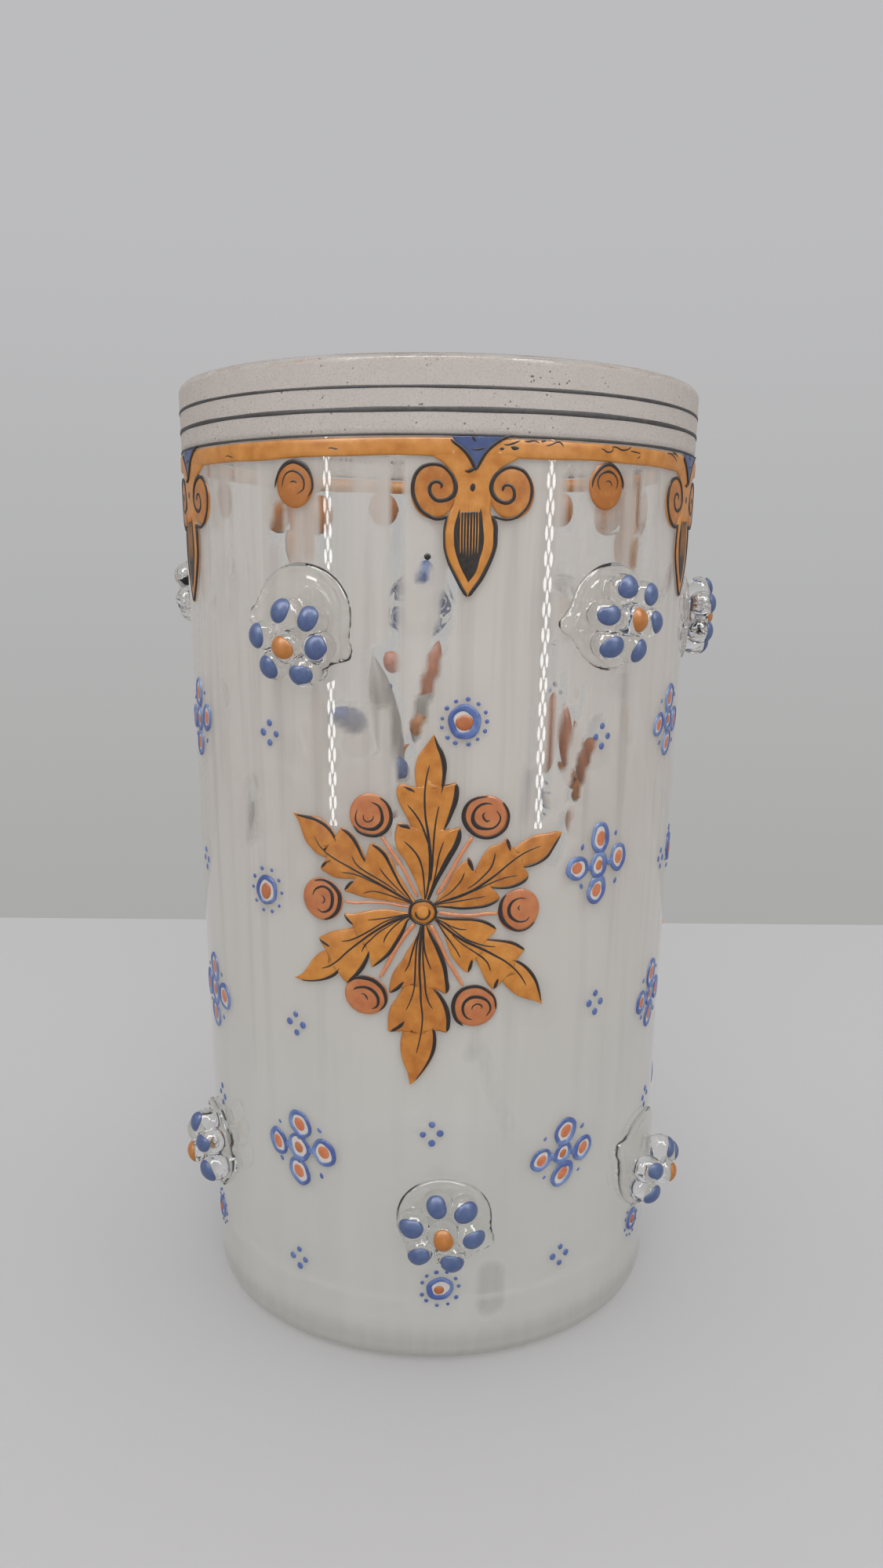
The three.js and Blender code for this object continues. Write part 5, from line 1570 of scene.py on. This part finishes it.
@dataclass
class Prunts:
    """Blobs of clear glass, each pressed into about seven beads that are touched with enamel."""

    upper: Spots = (
        (38.5, 152.5), (92.0, 152.5), (143.5, 152.5), (186.0, 152.5), (260.0, 152.5), (332.5, 152.5),
    )
    lower: Spots = (
        (2.4, 32.5), (66.0, 32.5), (117.0, 32.5), (170.0, 32.5), (222.0, 32.5), (294.5, 32.5),
    )
    around: int = 144
    half_width: float = 9.7
    half_height: float = 9.6
    edge: float = 0.85
    bead: float = 3.0
    bead_stand: float = 4.3
    middle_stand: float = 4.9
    ring: float = 6.2
    gather: float = 0.95
    cap_lean: float = 0.28
    cap_rise: float = 0.3
    chip_chance: float = 0.2
    sunk: float = 0.25
    voxel: float = 0.3
    melt_steps: int = 3
    seed: int = 600
    paints: tuple[str, str] = ("dab_blue", "dab_orange")

    def blob(self, place: Place, rng: np.random.Generator, shape: BlobShape) -> Array:
        """The flat blob with its rolled edge, as a closed surface.

        Height over a round grid: a low hill in the middle sinks to a shallow dish with two faint
        ripples, and the last part of each radius follows a circle over and under the rolled edge.
        The outline is an oval with a pinched tail or two, where the hot glass was drawn off.
        """
        turn = circle(self.around)
        oval = shape.scale / np.hypot(np.cos(turn) / self.half_width, np.sin(turn) / self.half_height)
        oval *= 1.0 + 0.02 * np.sin(2.0 * turn + rng.uniform(0.0, 6.0)) + 0.015 * np.sin(3.0 * turn)
        folds = 0.0 * turn
        for way, size in shape.tails:
            gap = (turn - np.radians(way) + np.pi) % ROUND - np.pi
            oval += size * np.exp(-((gap / 0.2) ** 2))
            folds += 0.2 * np.sin(34.0 * gap) * np.exp(-((gap / 0.5) ** 2))
        flat = np.linspace(0.0, 1.0, 30)[:, None]
        bend = np.radians(np.linspace(90.0, -15.0, 10))[1:, None]
        roll = self.edge * (0.8 + 0.3 * np.sin(turn + rng.uniform(0.0, 6.0)))
        dome = 1.9 * held(1.0 - (flat / 0.9) ** 2)
        ripple = 0.16 * np.sin(flat * 34.0) * held((flat - 0.6) * 5.0) + folds * held(2.0 * flat - 1.0)
        top = 0.35 + 1.35 * roll * flat**6 + dome + ripple
        outer = oval - roll + roll * np.cos(bend)
        fall = top[-1] - roll + roll * np.sin(bend)
        under = np.array([[0.9], [0.0]]) * oval
        reach = np.vstack((flat * (oval - roll), outer, under))
        height = np.vstack((top, np.maximum(fall, -0.1), np.full((2, self.around), -self.sunk)))
        across, up = shape.offset
        return place.lift(reach * np.cos(turn) + across, reach * np.sin(turn) + up, height, level=True)

    def beads(self, place: Place, middles: Array, stand: Array) -> Array:
        """Balls on stems, one for each middle: a circle's arc over the top, then a waisted stem."""
        arc = np.radians(np.linspace(0.0, 148.0, 16))
        reach = np.append(self.bead * np.sin(arc), [1.5, 1.7, 2.4, 0.0])[:, None]
        drop = np.append(self.bead * np.cos(arc), [-2.9, -3.3, -4.2, -4.2])[:, None]
        x = reach * np.cos(circle(36)) + middles[:, 0, None, None]
        y = reach * np.sin(circle(36)) + middles[:, 1, None, None]
        off = np.maximum(stand[:, None, None] + drop + 0.0 * x, 0.0)
        return place.lift(x, y, off, level=True)

    def touches(self, place: Place, middles: Array, stand: Array, rng: np.random.Generator) -> Array:
        """Caps of enamel on the beads' ends, thicker in the middle, a few of them chipped.

        A cap follows the bead's ball from its top out to an angle that changes round it, so that its
        outline is an oval. Where a cap is chipped that angle draws in over a part of the way round.
        Each cap leans away from the middle of the group, as its bead does.
        """
        many = len(middles)
        turn = circle(28)
        wide = rng.uniform(43.0, 48.0, (many, 1))
        swing = rng.uniform(0.0, ROUND, (many, 1))
        limit = wide * (1.0 + 0.13 * np.cos(2.0 * (turn - swing)) + 0.03 * np.sin(3.0 * turn + swing))
        gap = (turn - rng.uniform(0.0, ROUND, (many, 1)) + np.pi) % ROUND - np.pi
        chipped = rng.random((many, 1)) < self.chip_chance
        limit = np.radians(limit * (1.0 - 0.22 * chipped * np.exp(-((gap / 0.5) ** 2))))
        share = np.append(np.sin(np.linspace(0.0, 0.5, 8) * np.pi), [1.0, 0.0])[:, None]
        rise = np.sqrt(held(1.0 - share**3)) * self.cap_rise
        rise[-2:] = -self.sunk
        radius, polar = self.bead + rise, share * limit[:, None, :]
        lean = (middles - middles.mean(axis=0)) / self.ring * self.cap_lean
        flat = radius * np.sin(polar)
        x, y, z = flat * np.cos(turn), flat * np.sin(turn), radius * np.cos(polar)
        right, up = lean[:, 0, None, None], lean[:, 1, None, None]
        across = x + z * np.sin(right) + middles[:, 0, None, None]
        above = y + z * np.sin(up) + middles[:, 1, None, None]
        off = z * np.cos(np.hypot(right, up)) - x * np.sin(right) - y * np.sin(up)
        return place.lift(across, above, off + stand[:, None, None], level=True)

    def build(self, palette: Palette) -> None:
        """Builds each prunt as one fused body, and the touches of enamel on it as a second piece."""
        nodes = [f"prunt_{row}_{number}" for row in ("upper", "lower") for number in range(1, 7)]
        for number, (node, spot) in enumerate(zip(nodes, self.upper + self.lower)):
            rng = np.random.default_rng(self.seed + number)
            place = Place(*spot)
            turn = np.arange(6) * ROUND / 6.0 + rng.uniform(0.1, 0.6) + rng.uniform(-0.08, 0.08, 6)
            around = np.column_stack((np.cos(turn), np.sin(turn))) * self.ring
            left, long = 180.0 + rng.uniform(-30.0, 30.0), rng.uniform(1.0, 2.4)
            tails = ((left, long), (rng.uniform(-40.0, 20.0), 1.6))
            plain = BlobShape((0.0, 0.0), tails, np.vstack((CENTRE, around)))
            shape = SEEN_BLOBS.get(node, plain)
            middles = np.array(shape.beads, float)
            middles = middles[0] + (middles - middles[0]) * self.gather
            stand = self.bead_stand + rng.uniform(-0.2, 0.2, len(middles))
            stand[0] = self.middle_stand
            skin = Skin(node + "_pressed", ("pressed",))
            skin.lay(self.blob(place, rng, shape))
            skin.lay(self.beads(place, middles, stand))
            self.fuse(skin.piece(palette, Slot.PRUNT, node))
            paint = Skin(node.replace("prunt", "prunt_touches"), self.paints)
            caps = self.touches(place, middles, stand, rng)
            if 0 in shape.painted:
                paint.lay(caps[:1], self.paints[1])
            paint.lay(caps[[bead for bead in shape.painted if bead]])
            paint.piece(palette, Slot.BLUE)

    def fuse(self, made: bpy.types.Object) -> None:
        """Melts blob and beads into one closed skin: a fine remesh, then a smoothing of its steps."""
        melt = made.modifiers.new("melt", "REMESH")
        melt.mode = "VOXEL"
        melt.voxel_size = self.voxel * MM
        melt.use_smooth_shade = True
        soften = made.modifiers.new("soften", "SMOOTH")
        soften.factor = 0.5
        soften.iterations = self.melt_steps
        bpy.context.view_layer.update()
        melted = made.evaluated_get(bpy.context.evaluated_depsgraph_get())
        finished = bpy.data.meshes.new_from_object(melted)
        made.modifiers.clear()
        made.data = finished
        log.info("%s fused: %d faces", made.name, len(finished.polygons))


def facing(place: tuple[float, ...], aim: float = 0.1) -> tuple[Array, ...]:
    """Gives the side, up and back ways of something that faces a height on the vase's axis."""
    back = np.array(place) - (0.0, 0.0, aim)
    back = back / np.linalg.norm(back)
    side = np.cross((0.0, 0.0, 1.0), back)
    side = side / np.linalg.norm(side)
    return side, np.cross(back, side), back


def flat_sheet(
    name: str, finish: bpy.types.Material, middle: Array, side: Array, up: Array
) -> bpy.types.Object:
    """Makes a flat sheet in the scene from its middle and its two half-sides."""
    corner = np.array([[-1.0, -1.0], [1.0, -1.0], [1.0, 1.0], [-1.0, 1.0]])
    mesh = bpy.data.meshes.new(name)
    mesh.from_pydata((middle + corner @ np.stack((side, up))).tolist(), [], [(0, 1, 2, 3)])
    mesh.materials.append(finish)
    made = put(name, mesh)
    return made


@dataclass
class Studio:
    """Floor, backdrop colours, soft light, the bright sheets that gloss mirrors, and the camera."""

    eye: tuple[float, float, float] = (0.0, -0.2788, 0.1618)
    pitch: float = 9.902
    yaw: float = 0.285
    roll: float = 0.567
    focal_px: float = 1549.8
    tall_px: int = 2000
    film_mm: float = 36.0
    floor_tone: str = "#b8b7b8"
    upper_tone: str = "#bcbcbe"
    # Painted shade: the backdrop's lower tone is darker, as light falls off down a wall.
    shaded_lower_tone: str = "#a9a9a7"
    daylight: float = 1.05
    table_half: float = 1.5
    table_back: float = 0.274
    table_drop: float = 0.0004
    strips: tuple[float, ...] = (-44.4, 45.0)
    strip_gain: float = 13.0
    strip_away: float = 0.42
    strip_low: float = 0.017
    strip_wide: float = 0.03
    strip_tall: float = 0.196
    panel_gain: float = 14.0
    panel_away: float = 0.4
    link: float = 0.0122
    strand: float = 0.0085
    dash: tuple[float, float, float] = (1.0 / 0.005, 1.0 / 0.0038, 0.0)
    deepest_path: int = 28
    overhead: float = 5.0
    frontal: float = 8.5

    def camera(self) -> None:
        """Places the camera by its eye point and its pitch down, yaw and roll."""
        pitch, yaw, roll = np.radians((self.pitch, self.yaw, self.roll))
        ahead = np.array((np.sin(yaw) * np.cos(pitch), np.cos(yaw) * np.cos(pitch), -np.sin(pitch)))
        level = np.array((np.cos(yaw), -np.sin(yaw), 0.0))
        plumb = np.cross(level, ahead)
        right = np.cos(roll) * level + np.sin(roll) * plumb
        up = -np.sin(roll) * level + np.cos(roll) * plumb
        view = bpy.data.cameras.new("front_view")
        view.sensor_fit = "VERTICAL"
        view.sensor_height = self.film_mm
        view.lens = self.focal_px / self.tall_px * self.film_mm
        view.clip_start = 0.005
        bpy.context.scene.camera = put("front_view", view, (right, up, -ahead), self.eye)

    def floor(self) -> None:
        """Lays a level pale sheet that ends behind the vase, and keeps its shadow."""
        tone = {"Color": linear(self.floor_tone)}
        matt = coat("pale_matt_table", lambda tree: add(tree, "BsdfDiffuse", tone))
        middle = np.array((0.0, (self.table_back - self.table_half) / 2.0, -self.table_drop))
        side = np.array((self.table_half, 0.0, 0.0))
        back = np.array((0.0, (self.table_back + self.table_half) / 2.0, 0.0))
        flat_sheet("table", matt, middle, side, back)

    def world(self) -> None:
        """Soft light from all round; to eye, gloss and glass a pale backdrop, with painted shade below."""
        world = bpy.data.worlds.new("studio")
        bpy.context.scene.world = world
        world.use_nodes = True
        tree = world.node_tree
        tree.nodes.clear()
        way = add(tree, "SeparateXYZ", {0: add(tree, "TexCoord", out="Generated")}, "Z")
        # Painted shade: the backdrop darkens downwards, as light on a real backdrop wall falls off.
        rise = add(tree, "MapRange", {0: way, 1: -0.3, 2: 0.25})
        pale = {0: rise, 6: linear(self.shaded_lower_tone), 7: linear(self.upper_tone)}
        plain = add(tree, "Background", {"Color": add(tree, "Mix", pale, 2, data_type="RGBA")})
        soft = add(tree, "Background", {"Strength": self.daylight})
        rays = add(tree, "LightPath").node.outputs
        seen = {0: rays["Is Camera Ray"], 1: rays["Is Glossy Ray"]}
        seen = add(tree, "Math", seen, operation="MAXIMUM")
        seen = add(tree, "Math", {0: seen, 1: rays["Is Transmission Ray"]}, operation="MAXIMUM")
        add(tree, "OutputWorld", {"Surface": add(tree, "MixShader", {0: seen, 1: soft, 2: plain})})

    def lamp(self, name: str, place: tuple[float, float, float], size: float, power: float) -> None:
        """Adds a square area lamp that faces the vase and that the camera doesn't see."""
        light = bpy.data.lights.new(name, "AREA")
        light.shape = "RECTANGLE"
        light.size = light.size_y = size
        light.energy = power
        made = put(name, light, facing(place), place)
        made.visible_camera = made.visible_glossy = made.visible_transmission = False

    def gleam(
        self, name: str, glow: Callable[[Tree], Socket],
        middle: Array, side: Array, up: Array,
    ) -> bpy.types.Object:
        """Hangs a bright sheet that only gloss sees."""
        made = flat_sheet(name, coat(name, glow), middle, side, up)
        made.visible_camera = made.visible_diffuse = False
        made.visible_transmission = made.visible_shadow = False
        return made

    def dashes(self, tree: Tree) -> Socket:
        """Shines in long oval dashes, two side by side and then one between them in turn.

        Both the middle of a pair and that of a single dash come back after each link up the strip,
        so the strip's gleam on the wall is a fine chain.
        """
        part = add(tree, "SeparateXYZ", {0: add(tree, "UVMap", uv_map="strip")}).node.outputs
        pair = add(tree, "Math", {0: part["Y"], 1: self.link / 2.0}, operation="PINGPONG")
        single = add(tree, "Math", {0: self.link / 2.0, 1: pair}, operation="SUBTRACT")
        side = add(tree, "Math", {0: part["X"]}, operation="ABSOLUTE")
        beside = add(tree, "Math", {0: side, 1: self.strand}, operation="SUBTRACT")
        near = []
        for across, along in ((beside, pair), (side, single)):
            spot = add(tree, "CombineXYZ", {"X": across, "Y": along})
            scaled = add(tree, "VectorMath", {0: spot, 1: self.dash}, operation="MULTIPLY")
            near.append(add(tree, "VectorMath", {0: scaled}, "Value", operation="LENGTH"))
        least = add(tree, "Math", dict(enumerate(near)), operation="MINIMUM")
        glow = add(tree, "MapRange", {0: least, 1: 1.1, 2: 0.75, 4: self.strip_gain})
        return add(tree, "Emission", {"Strength": glow})

    def plain(self, tree: Tree) -> Socket:
        """Shines evenly."""
        return add(tree, "Emission", {"Strength": self.panel_gain})

    def strip(self, name: str, turn: float) -> None:
        """Stands a tall strip of bright dashes beside the camera, at an angle in radians."""
        half, tall = self.strip_wide / 2.0, self.strip_tall
        away = self.strip_away
        middle = np.array((away * np.sin(turn), -away * np.cos(turn), self.strip_low + tall / 2.0))
        across = np.array((np.cos(turn), np.sin(turn), 0.0)) * half
        made = self.gleam(name, self.dashes, middle, across, np.array((0.0, 0.0, tall / 2.0)))
        spots = np.array([[-half, 0.0], [half, 0.0], [half, tall], [-half, tall]])
        made.data.uv_layers.new(name="strip").data.foreach_set("uv", spots.reshape(-1))

    def panel(self, name: str, place: tuple[float, ...], half: tuple[float, float]) -> None:
        """Hangs a plain bright sheet over the scene, for a gleam on rounded glass."""
        side, up, _ = facing(place)
        self.gleam(name, self.plain, np.array(place), side * half[0], up * half[1])

    def build(self) -> None:
        """Sets up the whole studio; glass behind glass needs many bounces of light."""
        scene = bpy.context.scene
        scene.view_settings.view_transform = "Standard"
        scene.cycles.max_bounces = scene.cycles.transmission_bounces = self.deepest_path
        scene.cycles.transparent_max_bounces = self.deepest_path
        self.camera()
        self.floor()
        self.world()
        for number, azimuth in enumerate(self.strips):
            turn = np.radians(azimuth)
            self.strip(f"braided_strip_{number + 1}", turn)
            high = (self.panel_away * np.sin(turn), -self.panel_away * np.cos(turn), 0.5)
            self.panel(f"tall_window_{number + 1}", high, (0.07, 0.17))
        self.panel("roof_window", (0.0, -self.panel_away, 0.95), (0.26, 0.1))
        self.lamp("soft_overhead", (0.1, -0.1, 1.6), 1.6, self.overhead)
        self.lamp("soft_frontal", (0.0, -1.3, 0.8), 1.2, self.frontal)


def main() -> None:
    """Builds the studio and then the vase, sub-assembly by sub-assembly."""
    logging.basicConfig(level=logging.INFO, format="%(name)s: %(message)s")
    palette = Palette()
    Studio().build()
    painted = (RimLines(), Border(), Rosette(), Suns(), Quatrefoils(), DotClusters(), FarSprays())
    for part in (Body(), *painted, Prunts()):
        part.build(palette)
        log.info("%s built", type(part).__name__)


if __name__ == "__main__":
    main()
